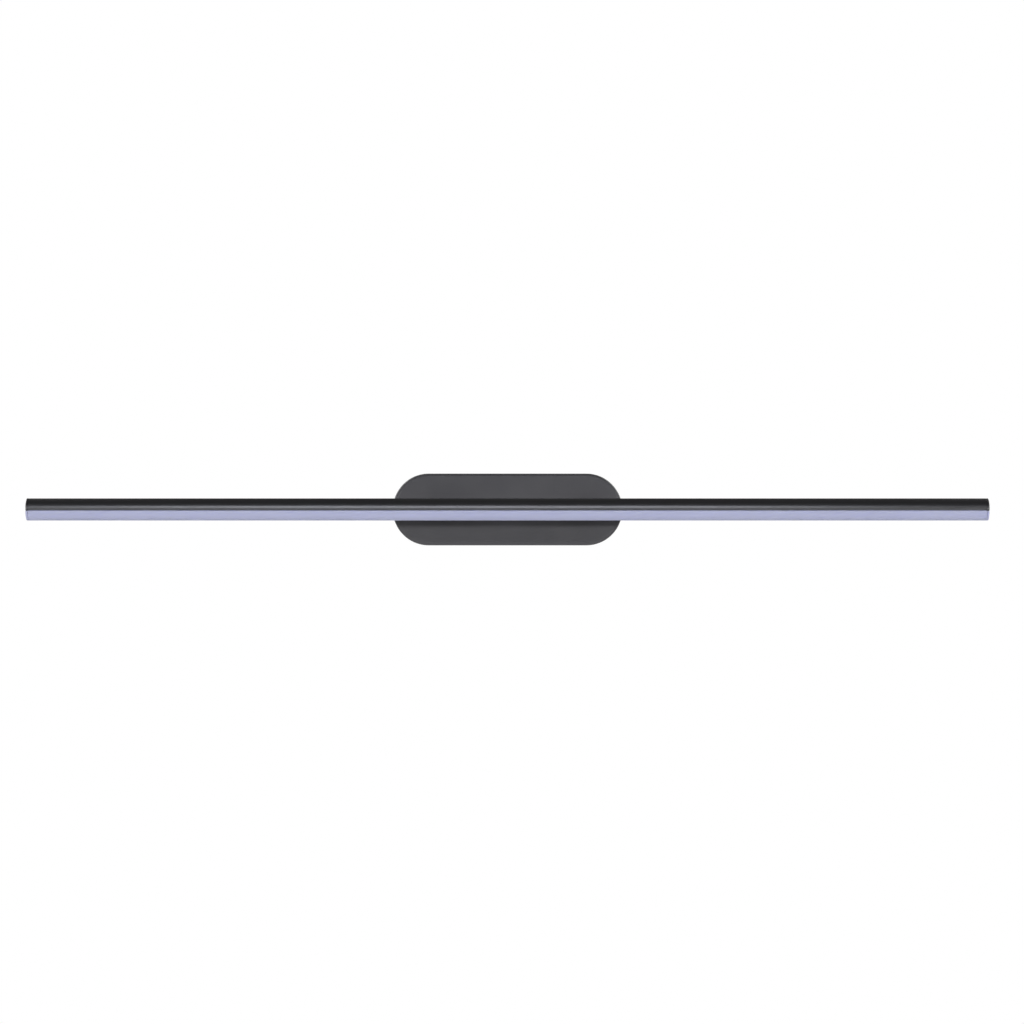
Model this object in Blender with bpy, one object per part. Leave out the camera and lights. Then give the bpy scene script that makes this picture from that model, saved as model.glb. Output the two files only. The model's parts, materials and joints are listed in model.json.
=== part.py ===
"""Vanity light bar: a slim round LED bar on two hollow arms, in front of an oblong wall canopy.

Metres, +Z up. The wall is the plane y = 0, the room is towards -Y, and +X runs along the bar.
The origin is the middle of the canopy, on the wall. The bar tilts about an axis along X.
Angles of the bar's section are in degrees, from +Y towards +Z, seen with the lens facing down.
"""

import math

import bmesh
import bpy

# ---------------------------------------------------------------- fits and facets
GAP = 0.0003  # between two faces that meet
SEGMENTS = 20  # sides of a round piece
SMALL_SEGMENTS = 12  # sides of a screw
SHARP_ANGLE = 35.0  # edges sharper than this stay crisp
WELD = 0.000002  # points closer than this after a Boolean are one

# ---------------------------------------------------------------- light bar
BAR_LENGTH = 1.000
BAR_DIAMETER = 0.023
BAR_WALL = 0.0015
WEB_THICKNESS = 0.0015  # the shelf that carries the LED board, just below the centre line
LENS_HALF_ANGLE = 63.5  # from the optical axis to the edge of the metal
LENS_TURN = 24.0  # how far the optical axis leans from straight down towards the room
LENS_WALL = 0.0015
SEAM_WIDTH = 0.0008  # open joint line between metal and lens
RIB_HEIGHT = 0.0006  # inward rib that the lens snaps behind
RIB_ARC = 4.0
TONGUE_WALL = 0.0010
TONGUE_ARC = 16.5  # how far the lens tongue reaches up inside the metal
BARB_ARC = 6.0
SHOULDER_ARC = 7.5
END_CAP_THICKNESS = 0.0020
LENS_PLUG_DEPTH = 0.0040
LENS_PLUG_CLEARANCE = 0.0008  # along the curve, from the plug to each shoulder of the lens

PORT_ANGLES = (84.0, 144.0)  # screw ports for the end caps
PORT_BOSS_RADIUS = 0.0026
PORT_SET_IN = 0.0022  # port centre inside the bore of the housing
PORT_DEPTH = 0.0140

BOARD_THICKNESS = 0.0012
BOARD_SIDE_CLEARANCE = 0.0015
BOARD_END_CLEARANCE = 0.0080
CHIP_LENGTH = 0.0035
CHIP_WIDTH = 0.0028
CHIP_HEIGHT = 0.0007
CHIP_PITCH = 0.0166

# ---------------------------------------------------------------- canopy
CANOPY_LENGTH = 0.243
CANOPY_HEIGHT = 0.076
CANOPY_DEPTH = 0.028
CANOPY_WALL = 0.0015
CANOPY_RIM_FILLET = 0.0040
CANOPY_OFF_WALL = 0.0005  # the wall bracket seats first
CANOPY_END_SEGMENTS = 14
FILLET_SEGMENTS = 4

# ---------------------------------------------------------------- arms and tilting knuckles
ARM_X = 0.084
ARM_STANDOFF = 0.032  # from the canopy's face to the tilt axis
POST_DIAMETER = 0.012
FLANGE_DIAMETER = 0.018
FLANGE_THICKNESS = 0.003
SPIGOT_DIAMETER = 0.010
SPIGOT_LENGTH = 0.0120
WIRE_BORE = 0.005
BARREL_DIAMETER = 0.018
BARREL_INNER_REACH = 0.0177  # from the post's centre to the face that meets the bar's hub
BARREL_OUTER_REACH = 0.0080
BARREL_END_WALL = 0.005
BARREL_CAVITY_CLEARANCE = 0.0004  # around the corners of the pivot nut
KNUCKLE_CAP_PLATE = 0.0015
KNUCKLE_CAP_SPIGOT = 0.0030

TRUNNION_DIAMETER = 0.008
TRUNNION_OVERHANG = 0.0007  # past the pivot nut
FRICTION_WASHER = 0.0010
SPRING_WASHER = 0.0012
SPRING_DISH = 0.0004
PIVOT_NUT_HEIGHT = 0.0050
PIVOT_NUT_WALL = 0.0010  # at the middle of its flats

HUB_LENGTH = 0.0127
SWING_GAP = 0.0015  # between the bar and the arms' barrels
SADDLE_LENGTH = 0.0367
SADDLE_WIDTH = 0.0160
SADDLE_THICKNESS = 0.0034  # at its middle
SADDLE_WRAP = 0.0027  # how far its edges wrap forward around the bar
SADDLE_SCREW_OFFSETS = (0.005, 0.017)  # from the saddle's inner end
WIRE_HOLE_OFFSET = 0.0062  # from the hub's outer face to the wire hole into the bar
NUT_PLATE_LENGTH = 0.0210
NUT_PLATE_THICKNESS = 0.0020
NUT_PLATE_SET_IN = 0.0010  # plate face inside the bore of the housing
NUT_PLATE_WEB_CLEARANCE = 0.0004

ARM_WASHER_DIAMETER = 0.018
ARM_WASHER_THICKNESS = 0.0015
ARM_NUT_FLATS = 0.016
ARM_NUT_HEIGHT = 0.006

# ---------------------------------------------------------------- screws: shank, head, head height
M3_SHANK = 0.0026
M3_HOLE = 0.0032
M3_HEAD = 0.0054
M3_HEAD_HEIGHT = 0.0018
TERMINAL_SCREW_HEAD = 0.0046
M4_SHANK = 0.0034
M4_HOLE = 0.0040
M4_HEAD = 0.0070
M4_HEAD_HEIGHT = 0.0022
HEAD_RIM = 0.25  # rounded edge, as a share of the head's height
SOCKET_FLOOR = 0.3  # metal under the socket, as a share of the head's height
SOCKET_FLATS = 0.45  # as a share of the head's diameter
CANOPY_SCREW_LENGTH = 0.0090
CANOPY_SCREW_OFF_WALL = 0.008

# ---------------------------------------------------------------- wall bracket
BRACKET_THICKNESS = 0.0015
BRACKET_END_CLEARANCE = 0.0200  # from the plate's end to the canopy's end wall
BRACKET_SIDE_CLEARANCE = 0.0065
BRACKET_CORNER = 0.006
TAB_WIDTH = 0.016
TAB_DEPTH = 0.0140
WALL_SLOT_LENGTH = 0.012
WALL_SLOT_WIDTH = 0.005
WALL_SLOT_SET_IN = 0.012
GROMMET_X = -0.015
GROMMET_EDGE = 0.0055  # from its hole to the bracket's lower edge
GROMMET_HOLE = 0.013
GROMMET_BORE = 0.009
GROMMET_FLANGE = 0.016
GROMMET_FLANGE_THICKNESS = 0.002

# ---------------------------------------------------------------- LED driver inside the canopy
DRIVER_LENGTH = 0.110
DRIVER_WALL = 0.0015
DRIVER_FRONT_CLEARANCE = 0.0049
DRIVER_COVER = 0.0015
DRIVER_EAR = 0.010
DRIVER_EAR_THICKNESS = 0.002
DRIVER_BOARD_STANDOFF = 0.0020
DRIVER_BOARD_THICKNESS = 0.0016
DRIVER_BOARD_CLEARANCE = 0.0010
TRANSFORMER_LENGTH = 0.022
TRANSFORMER_HEIGHT = 0.018
TRANSFORMER_CLEARANCE = 0.0002  # to the driver's cover
BOBBIN_STEP = 0.0018
TRANSFORMER_X = -0.012
CAPACITOR_CLEARANCE = 0.0021  # to the driver's cover
CAPACITOR_BEVEL = 0.0005
CAPACITOR_LENGTH = 0.018
CAPACITOR_X = -0.030
LEAD_PORT = 0.0032

# ---------------------------------------------------------------- mains terminals and leads
TERMINAL_SIZE = (0.030, 0.015, 0.015)
TERMINAL_X = 0.012  # its left face
TERMINAL_FLOOR_CLEARANCE = 0.0085
POLE_PITCH = 0.010
POLE_BORE = 0.004
POLE_DEPTH = 0.0068  # from the block's back to the middle of the wire bores
POLE_SCREW = 0.0038
POLE_SCREW_LENGTH = 0.0055
POLE_WELL = 0.0044
EARTH_X = 0.054
EARTH_EDGE = 0.0120  # from its centre to the bracket's lower edge
MAINS_LEAD_RADIUS = 0.0009
SUPPLY_LEAD_RADIUS = 0.0010
LEAD_SPACING = 0.0040  # between the points of a lead
LEAD_TO_PLATE = 0.0018  # from the nut plate to the middle of the lead in the bar
LEAD_BEND = 0.0045  # where the lead turns from the trunnion into the bar
LEAD_TURN_X = 0.024  # where the lead turns through the web to the board

# ---------------------------------------------------------------- worked out from the above
bar_radius = BAR_DIAMETER / 2
bore_radius = bar_radius - BAR_WALL
metal_low = LENS_HALF_ANGLE - 90.0
metal_high = 270.0 - LENS_HALF_ANGLE
seam_angle = math.degrees(SEAM_WIDTH / bar_radius)
lens_half = LENS_HALF_ANGLE - seam_angle
body_half = BAR_LENGTH / 2 - END_CAP_THICKNESS - GAP
board_top = -WEB_THICKNESS - GAP
board_bottom = board_top - BOARD_THICKNESS
shoulder_half = lens_half - SHOULDER_ARC
barb_radius = bore_radius - GAP
tongue_outer = bore_radius - RIB_HEIGHT - GAP
tongue_inner = tongue_outer - TONGUE_WALL
port_radius = bore_radius - PORT_SET_IN

canopy_radius = CANOPY_HEIGHT / 2
canopy_inner_half = canopy_radius - CANOPY_WALL
canopy_inner_end = CANOPY_LENGTH / 2 - CANOPY_WALL
canopy_inner_face = -(CANOPY_DEPTH - CANOPY_WALL)

pivot_y = -(CANOPY_DEPTH + ARM_STANDOFF)
pivot_nut_flats = TRUNNION_DIAMETER + 2 * GAP + 2 * PIVOT_NUT_WALL
cavity_radius = pivot_nut_flats / 2 / math.cos(math.radians(30)) + BARREL_CAVITY_CLEARANCE
pivot_to_bar = BARREL_DIAMETER / 2 + SWING_GAP + bar_radius
barrel_face = ARM_X - BARREL_INNER_REACH
barrel_end = ARM_X + BARREL_OUTER_REACH
cavity_start = barrel_face + BARREL_END_WALL
hub_face = barrel_face - FRICTION_WASHER - 2 * GAP
hub_start = hub_face - HUB_LENGTH
saddle_start = hub_face - SADDLE_LENGTH
spring_start = cavity_start + GAP
nut_start = spring_start + SPRING_WASHER + GAP
trunnion_end = nut_start + PIVOT_NUT_HEIGHT + TRUNNION_OVERHANG
wire_hole_x = hub_face - WIRE_HOLE_OFFSET
plate_outer = bore_radius - NUT_PLATE_SET_IN
plate_inner = plate_outer - NUT_PLATE_THICKNESS
turn = math.radians(LENS_TURN)
plate_half_width = (plate_inner * math.sin(turn) - NUT_PLATE_WEB_CLEARANCE) / math.cos(turn)
lead_radius_in_bar = plate_inner - LEAD_TO_PLATE

bracket_half_length = canopy_inner_end - BRACKET_END_CLEARANCE
bracket_half_height = canopy_inner_half - BRACKET_SIDE_CLEARANCE
grommet_z = -(bracket_half_height - GROMMET_EDGE - GROMMET_HOLE / 2)
earth_z = -(bracket_half_height - EARTH_EDGE)
driver_back = -BRACKET_THICKNESS - GAP
driver_front = canopy_inner_face + DRIVER_FRONT_CLEARANCE + DRIVER_COVER + GAP
driver_top = bracket_half_height
driver_board_back = driver_back - DRIVER_WALL - DRIVER_BOARD_STANDOFF
driver_board_front = driver_board_back - DRIVER_BOARD_THICKNESS
terminal_low = -canopy_inner_half + TERMINAL_FLOOR_CLEARANCE
terminal_high = terminal_low + TERMINAL_SIZE[2]
terminal_front = driver_back - TERMINAL_SIZE[1]
pole_y = driver_back - POLE_DEPTH

SIDES = {"left": -1, "right": 1}
FACING_ROOM = (math.radians(90), 0.0, 0.0)  # turns a screw's head to -Y
FACING_WALL = (math.radians(-90), 0.0, 0.0)  # turns a screw's head to +Y


# ---------------------------------------------------------------- materials
def material(name, colour, roughness, metallic=0.0):
    made = bpy.data.materials.new(name)
    made.use_nodes = True
    shader = made.node_tree.nodes["Principled BSDF"]
    shader.inputs["Base Color"].default_value = (*colour, 1.0)
    shader.inputs["Roughness"].default_value = roughness
    shader.inputs["Metallic"].default_value = metallic
    made.diffuse_color = (*colour, 1.0)
    return made


def make_materials():
    return {
        "canopy_black": material("canopy_black", (0.055, 0.055, 0.058), 0.55, 0.3),
        "bar_black": material("bar_black", (0.020, 0.019, 0.024), 0.40, 0.6),
        "opal_diffuser": material("opal_diffuser", (0.50, 0.51, 0.62), 0.45),
        "zinc_steel": material("zinc_steel", (0.62, 0.62, 0.60), 0.35, 1.0),
        "brass": material("brass", (0.72, 0.55, 0.26), 0.30, 1.0),
        "nylon_white": material("nylon_white", (0.80, 0.80, 0.76), 0.50),
        "board_white": material("board_white", (0.85, 0.86, 0.84), 0.45),
        "board_green": material("board_green", (0.04, 0.20, 0.08), 0.45),
        "rubber_black": material("rubber_black", (0.02, 0.02, 0.02), 0.80),
        "wire_brown": material("wire_brown", (0.18, 0.07, 0.03), 0.45),
        "wire_blue": material("wire_blue", (0.03, 0.12, 0.45), 0.45),
        "wire_green": material("wire_green", (0.10, 0.40, 0.08), 0.45),
        "wire_grey": material("wire_grey", (0.30, 0.30, 0.31), 0.50),
    }


# ---------------------------------------------------------------- shape tools
def point_on(axis, u, v, along):
    """A point with section coordinates u and v, at a distance along the axis."""
    return {"X": (along, u, v), "Y": (u, along, v), "Z": (u, v, along)}[axis]


def polar(radius, degrees):
    angle = math.radians(degrees)
    return (radius * math.cos(angle), radius * math.sin(angle))


def arc(radius, start, end, steps, centre=(0.0, 0.0)):
    """Points along an arc, both ends included."""
    points = []
    for step in range(steps + 1):
        u, v = polar(radius, start + (end - start) * step / steps)
        points.append((centre[0] + u, centre[1] + v))
    return points


def rounded_rectangle(half_u, half_v, corner, steps=4):
    points = []
    for start, sign_u, sign_v in ((0, 1, 1), (90, -1, 1), (180, -1, -1), (270, 1, -1)):
        centre = (sign_u * (half_u - corner), sign_v * (half_v - corner))
        points += arc(corner, start, start + 90, steps, centre)
    return points


def obround(half_length, radius, steps):
    """Two half circles joined by straight sides, its length along the first coordinate."""
    straight = half_length - radius
    right = arc(radius, -90, 90, steps, (straight, 0.0))
    return right + arc(radius, 90, 270, steps, (-straight, 0.0))


def hexagon(flats):
    return [polar(flats / 2 / math.cos(math.radians(30)), 60 * side) for side in range(6)]


def bridge(bm, first, second):
    """Faces between two rings of as many points."""
    for step, start in enumerate(first):
        following = (step + 1) % len(first)
        bm.faces.new((start, first[following], second[following], second[step]))


def to_object(name, bm):
    """An object of a closed mesh, with its faces turned outwards."""
    bmesh.ops.recalc_face_normals(bm, faces=bm.faces)
    if bm.calc_volume(signed=True) < 0.0:
        bmesh.ops.reverse_faces(bm, faces=bm.faces)
    mesh = bpy.data.meshes.new(name)
    bm.to_mesh(mesh)
    bm.free()
    made = bpy.data.objects.new(name, mesh)
    bpy.context.collection.objects.link(made)
    return made


def prism(name, outline, axis, start, end):
    """An outline pushed along an axis from start to end."""
    bm = bmesh.new()
    rings = []
    for along in (start, end):
        rings.append([bm.verts.new(point_on(axis, u, v, along)) for u, v in outline])
        bm.faces.new(rings[-1])
    bridge(bm, *rings)
    return to_object(name, bm)


def cylinder(name, radius, axis, start, end, centre=(0.0, 0.0), segments=SEGMENTS):
    outline = arc(radius, 0, 360, segments, centre)[:-1]
    return prism(name, outline, axis, start, end)


def box(name, low, high):
    outline = [(low[1], low[2]), (high[1], low[2]), (high[1], high[2]), (low[1], high[2])]
    return prism(name, outline, "X", low[0], high[0])


def turned(name, profile, axis, segments=SEGMENTS):
    """A profile of (distance along, radius) turned about the axis; one that starts on it is solid."""
    bm = bmesh.new()
    rings = []
    for along, radius in profile:
        if radius > 0.0:
            outline = arc(radius, 0, 360, segments)[:-1]
            rings.append([bm.verts.new(point_on(axis, u, v, along)) for u, v in outline])
    for first, second in zip(rings, rings[1:]):
        bridge(bm, first, second)
    if profile[0][1] == 0.0:
        bm.faces.new(rings[0])
        bm.faces.new(rings[-1])
    else:
        bridge(bm, rings[-1], rings[0])
    return to_object(name, bm)


def ring(name, outer, inner, axis, start, end, segments=SEGMENTS):
    profile = [(start, inner), (start, outer), (end, outer), (end, inner)]
    return turned(name, profile, axis, segments)


def combine(target, tools, operation):
    """Boolean of a piece with each tool in turn, applied; the tools are used up."""
    for tool in tools:
        modifier = target.modifiers.new(operation.lower(), "BOOLEAN")
        modifier.operation = operation
        modifier.solver = "EXACT"
        modifier.object = tool
    bpy.context.view_layer.update()
    evaluated = target.evaluated_get(bpy.context.evaluated_depsgraph_get())
    mesh = bpy.data.meshes.new_from_object(evaluated)
    target.modifiers.clear()
    bm = bmesh.new()
    bm.from_mesh(mesh)
    bmesh.ops.remove_doubles(bm, verts=bm.verts, dist=WELD)
    bm.to_mesh(mesh)
    bm.free()
    target.data = mesh
    for tool in tools:
        bpy.data.objects.remove(tool)
    return target


def cut(target, *tools):
    return combine(target, tools, "DIFFERENCE")


def fuse(target, *tools):
    return combine(target, tools, "UNION")


def place(piece, finish, parent=None, location=(0.0, 0.0, 0.0), rotation=(0.0, 0.0, 0.0)):
    """Gives a piece its material, its parent and its place."""
    piece.data.name = piece.name
    piece.data.materials.clear()
    piece.data.materials.append(finish)
    piece.parent = parent
    piece.location = location
    piece.rotation_euler = rotation
    return piece


def screw(name, shank, head, head_height, length, countersunk=False):
    """A socket-head screw along Z, the underside of its head at z = 0 and the head above."""
    rim = HEAD_RIM * head_height
    profile = [(head_height, 0.0)]
    if countersunk:
        profile += [(head_height, head / 2)]
    else:
        profile += [(head_height, head / 2 - rim), (head_height - rim, head / 2), (0.0, head / 2)]
    profile += [(0.0, shank / 2), (rim - length, shank / 2), (-length, shank / 2 - rim)]
    profile += [(-length, 0.0)]
    made = turned(name, profile, "Z", SMALL_SEGMENTS)
    floor = SOCKET_FLOOR * head_height
    socket = prism("socket", hexagon(SOCKET_FLATS * head), "Z", floor, 2 * head_height)
    return cut(made, socket)


def smooth_route(route):
    """Points on a smooth curve through the route's points, about one for each lead spacing."""
    ends = [route[0], *route, route[-1]]
    points = []
    for before, start, end, after in zip(ends, ends[1:], ends[2:], ends[3:]):
        steps = max(2, round(math.dist(start, end) / LEAD_SPACING))
        for step in range(steps):
            t = step / steps
            weights = (
                (-t + 2 * t**2 - t**3) / 2,
                (2 - 5 * t**2 + 3 * t**3) / 2,
                (t + 4 * t**2 - 3 * t**3) / 2,
                (t**3 - t**2) / 2,
            )
            corners = (before, start, end, after)
            points.append(
                tuple(
                    sum(weight * corner[axis] for weight, corner in zip(weights, corners))
                    for axis in range(3)
                )
            )
    points.append(route[-1])
    return points


def lead(name, route, radius):
    """A wire lead along a route, with closed ends."""
    curve = bpy.data.curves.new(name, "CURVE")
    curve.dimensions = "3D"
    curve.bevel_depth = radius
    curve.bevel_resolution = 2
    curve.use_fill_caps = True
    points = smooth_route(route)
    spline = curve.splines.new("POLY")
    spline.points.add(len(points) - 1)
    for spline_point, place_of in zip(spline.points, points):
        spline_point.co = (*place_of, 1.0)
    made = bpy.data.objects.new(name, curve)
    bpy.context.collection.objects.link(made)
    return made


# ---------------------------------------------------------------- canopy and wall bracket
def canopy_rings(offset, open_end, face):
    """Rings from the open back to the face: (inset from the outer outline, y)."""
    fillet = CANOPY_RIM_FILLET - offset
    rings = [(offset, open_end)]
    for step in range(FILLET_SEGMENTS + 1):
        inset, rise = polar(fillet, 90 * step / FILLET_SEGMENTS)
        rings.append((offset + fillet - inset, face + fillet - rise))
    return rings


def make_canopy(finish):
    """The oblong cover: a pan with a rounded rim, open towards the wall."""
    outer = canopy_rings(0.0, -CANOPY_OFF_WALL, -CANOPY_DEPTH)
    inner = canopy_rings(CANOPY_WALL, -CANOPY_OFF_WALL, canopy_inner_face)
    bm = bmesh.new()
    shells = []
    for rings in (outer, inner):
        loops = []
        for inset, y in rings:
            outline = obround(CANOPY_LENGTH / 2 - inset, canopy_radius - inset, CANOPY_END_SEGMENTS)
            loops.append([bm.verts.new((x, y, z)) for x, z in outline])
        for first, second in zip(loops, loops[1:]):
            bridge(bm, first, second)
        bm.faces.new(loops[-1])
        shells.append(loops)
    bridge(bm, shells[0][0], shells[1][0])
    canopy = to_object("canopy", bm)
    tools = []
    for side in SIDES.values():
        arm_hole = SPIGOT_DIAMETER / 2 + GAP
        tools.append(
            cylinder("arm_hole", arm_hole, "Y", -2 * CANOPY_DEPTH, -CANOPY_DEPTH / 2, (side * ARM_X, 0.0))
        )
        reach = sorted((side * (CANOPY_LENGTH / 2 - 2 * CANOPY_WALL), side * CANOPY_LENGTH))
        centre = (-CANOPY_SCREW_OFF_WALL, 0.0)
        tools.append(cylinder("end_hole", M4_HOLE / 2, "X", *reach, centre, SMALL_SEGMENTS))
    cut(canopy, *tools)
    place(canopy, finish)


def tab_outer_x():
    """Outer face of the bracket's end tab, clear of the canopy's rounded end."""
    half = TAB_WIDTH / 2
    curve = canopy_inner_half - math.sqrt(canopy_inner_half**2 - half**2)
    return canopy_inner_end - curve - GAP


def make_wall_bracket(finish):
    """Steel plate that screws to the wall, with a bent tab at each end for the canopy's screws."""
    outline = rounded_rectangle(bracket_half_length, bracket_half_height, BRACKET_CORNER)
    bracket = prism("wall_bracket", outline, "Y", -BRACKET_THICKNESS, 0.0)
    additions = []
    for side in SIDES.values():
        tab_x = tab_outer_x()
        root = bracket_half_length - BRACKET_CORNER
        half = TAB_WIDTH / 2
        strip = [(root, 0.0), (tab_x, 0.0), (tab_x, -TAB_DEPTH)]
        strip += [(tab_x - BRACKET_THICKNESS, -TAB_DEPTH)]
        strip += [(tab_x - BRACKET_THICKNESS, -BRACKET_THICKNESS), (root, -BRACKET_THICKNESS)]
        strip = [(side * x, y) for x, y in strip]
        additions.append(prism("tab", strip, "Z", -half, half))
    fuse(bracket, *additions)
    tools = []
    through = (-2 * BRACKET_THICKNESS, BRACKET_THICKNESS)
    for side in SIDES.values():
        slot_x = side * (bracket_half_length - WALL_SLOT_SET_IN)
        slot = obround(WALL_SLOT_LENGTH / 2, WALL_SLOT_WIDTH / 2, 8)
        slot = [(slot_x + x, z) for x, z in slot]
        tools.append(prism("wall_slot", slot, "Y", *through))
        reach = sorted((side * (tab_outer_x() - 3 * BRACKET_THICKNESS), side * CANOPY_LENGTH))
        centre = (-CANOPY_SCREW_OFF_WALL, 0.0)
        tools.append(cylinder("tab_hole", M4_HOLE / 2, "X", *reach, centre, SMALL_SEGMENTS))
    small_holes = [(side * driver_ear_x(), driver_top / 2) for side in SIDES.values()]
    small_holes += [(EARTH_X, earth_z), terminal_screw_spot()]
    for spot in small_holes:
        tools.append(cylinder("screw_hole", M3_HOLE / 2, "Y", *through, spot, SMALL_SEGMENTS))
    tools.append(cylinder("cable_hole", GROMMET_HOLE / 2, "Y", *through, (GROMMET_X, grommet_z)))
    cut(bracket, *tools)
    place(bracket, finish)


def make_cable_grommet(finish):
    """Rubber ring that guards the supply cable where it comes through the bracket."""
    back = -GAP
    shoulder = driver_back
    front = shoulder - GROMMET_FLANGE_THICKNESS
    neck = GROMMET_HOLE / 2 - GAP
    bore = GROMMET_BORE / 2
    flange = GROMMET_FLANGE / 2
    profile = [(back, bore), (back, neck), (shoulder, neck), (shoulder, flange)]
    profile += [(front + GAP, flange), (front, flange - GAP), (front, bore)]
    grommet = turned("cable_grommet", profile, "Y")
    place(grommet, finish, location=(GROMMET_X, 0.0, grommet_z))


def make_canopy_screws(finish):
    for side_name, side in SIDES.items():
        name = f"canopy_screw_{side_name}"
        made = screw(name, M4_SHANK, M4_HEAD, M4_HEAD_HEIGHT, CANOPY_SCREW_LENGTH)
        location = (side * (CANOPY_LENGTH / 2 + GAP), -CANOPY_SCREW_OFF_WALL, 0.0)
        place(made, finish, location=location, rotation=(0.0, side * math.radians(90), 0.0))


# ---------------------------------------------------------------- LED driver
def driver_ear_x():
    return DRIVER_LENGTH / 2 + DRIVER_EAR / 2


def make_driver_case(finish):
    """Plastic tray on the bracket, open to the front, with an ear at each end."""
    half = DRIVER_LENGTH / 2
    case = box("driver_case", (-half, driver_front, 0.0), (half, driver_back, driver_top))
    ear_low = driver_top / 2 - DRIVER_EAR / 2
    ear_high = driver_top / 2 + DRIVER_EAR / 2
    ear_front = driver_back - DRIVER_EAR_THICKNESS
    ears = box("ears", (-half - DRIVER_EAR, ear_front, ear_low), (half + DRIVER_EAR, driver_back, ear_high))
    fuse(case, ears)
    wall = DRIVER_WALL
    hollow = box(
        "hollow",
        (-half + wall, driver_front - wall, wall),
        (half - wall, driver_back - wall, driver_top - wall),
    )
    tools = [hollow]
    for side in SIDES.values():
        spot = (side * driver_ear_x(), driver_top / 2)
        tools.append(
            cylinder("ear_hole", M3_HOLE / 2, "Y", 2 * ear_front, -driver_back, spot, SMALL_SEGMENTS)
        )
    port = LEAD_PORT / 2
    for pole in (0, 1):
        spot = (pole_x(pole), pole_y)
        tools.append(cylinder("inlet", port, "Z", -wall, 2 * wall, spot, SMALL_SEGMENTS))
    outlet = (output_y(), output_z())
    tools.append(cylinder("outlet", port, "X", half - 2 * wall, half + wall, outlet, SMALL_SEGMENTS))
    cut(case, *tools)
    place(case, finish)


def make_driver_cover(finish):
    """Lid of the driver, with a rim that drops inside the tray."""
    half = DRIVER_LENGTH / 2
    front = driver_front - GAP - DRIVER_COVER
    lid = box("driver_cover", (-half, front, 0.0), (half, driver_front - GAP, driver_top))
    inset = DRIVER_WALL + GAP
    rim = box(
        "rim",
        (-half + inset, driver_front - DRIVER_COVER, inset),
        (half - inset, driver_front + DRIVER_WALL, driver_top - inset),
    )
    fuse(lid, rim)
    place(lid, finish)


def make_driver_board(finish):
    half = DRIVER_LENGTH / 2 - DRIVER_WALL - DRIVER_BOARD_CLEARANCE
    low = DRIVER_WALL + DRIVER_BOARD_CLEARANCE
    high = driver_top - low
    board = box("driver_board", (-half, driver_board_front, low), (half, driver_board_back, high))
    place(board, finish)


def make_driver_parts(core_finish, can_finish):
    """Transformer and capacitor, standing on the front of the driver's board."""
    middle = driver_top / 2
    back = driver_board_front - GAP
    cover = driver_front + DRIVER_WALL
    start, end = TRANSFORMER_X, TRANSFORMER_X + TRANSFORMER_LENGTH
    low, high = middle - TRANSFORMER_HEIGHT / 2, middle + TRANSFORMER_HEIGHT / 2
    front = cover + TRANSFORMER_CLEARANCE
    core_front = front + BOBBIN_STEP / 2
    core = box("driver_transformer", (start, core_front, low), (end, back, high))
    bobbin = box(
        "bobbin",
        (start + BOBBIN_STEP, front, low + BOBBIN_STEP),
        (end - BOBBIN_STEP, back - BOBBIN_STEP, high - BOBBIN_STEP),
    )
    fuse(core, bobbin)
    place(core, core_finish)
    radius = (back - cover - CAPACITOR_CLEARANCE) / 2
    bevel = CAPACITOR_BEVEL
    half = CAPACITOR_LENGTH / 2
    profile = [(-half, 0.0), (-half, radius - bevel), (-half + bevel, radius)]
    profile += [(half - bevel, radius), (half, radius - bevel), (half, 0.0)]
    can = turned("driver_capacitor", profile, "X", SMALL_SEGMENTS)
    place(can, can_finish, location=(CAPACITOR_X, back - radius, middle))


def make_driver_screws(finish):
    underside = driver_back - DRIVER_EAR_THICKNESS - GAP
    for side_name, side in SIDES.items():
        name = f"driver_screw_{side_name}"
        made = screw(name, M3_SHANK, M3_HEAD, M3_HEAD_HEIGHT, -underside - GAP)
        location = (side * driver_ear_x(), underside, driver_top / 2)
        place(made, finish, location=location, rotation=FACING_ROOM)


# ---------------------------------------------------------------- mains terminals
def pole_x(pole):
    return TERMINAL_X + TERMINAL_SIZE[0] / 2 + (pole - 1) * POLE_PITCH


def terminal_middle_z():
    return (terminal_low + terminal_high) / 2


def terminal_screw_spot():
    """Between the first and second pole."""
    return ((pole_x(0) + pole_x(1)) / 2, terminal_middle_z())


def make_terminal_block(finish):
    high_corner = (TERMINAL_X + TERMINAL_SIZE[0], driver_back, terminal_high)
    block = box("terminal_block", (TERMINAL_X, terminal_front, terminal_low), high_corner)
    tools = []
    for pole in range(3):
        spot = (pole_x(pole), pole_y)
        tools.append(
            cylinder("wire_bore", POLE_BORE / 2, "Z", 2 * terminal_low, 0.0, spot, SMALL_SEGMENTS)
        )
        well = (pole_x(pole), terminal_middle_z())
        tools.append(
            cylinder("well", POLE_WELL / 2, "Y", 2 * terminal_front, pole_y, well, SMALL_SEGMENTS)
        )
    through = (2 * terminal_front, -driver_back)
    spot = terminal_screw_spot()
    tools.append(cylinder("fixing", M3_HOLE / 2, "Y", *through, spot, SMALL_SEGMENTS))
    cut(block, *tools)
    place(block, finish)


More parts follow.
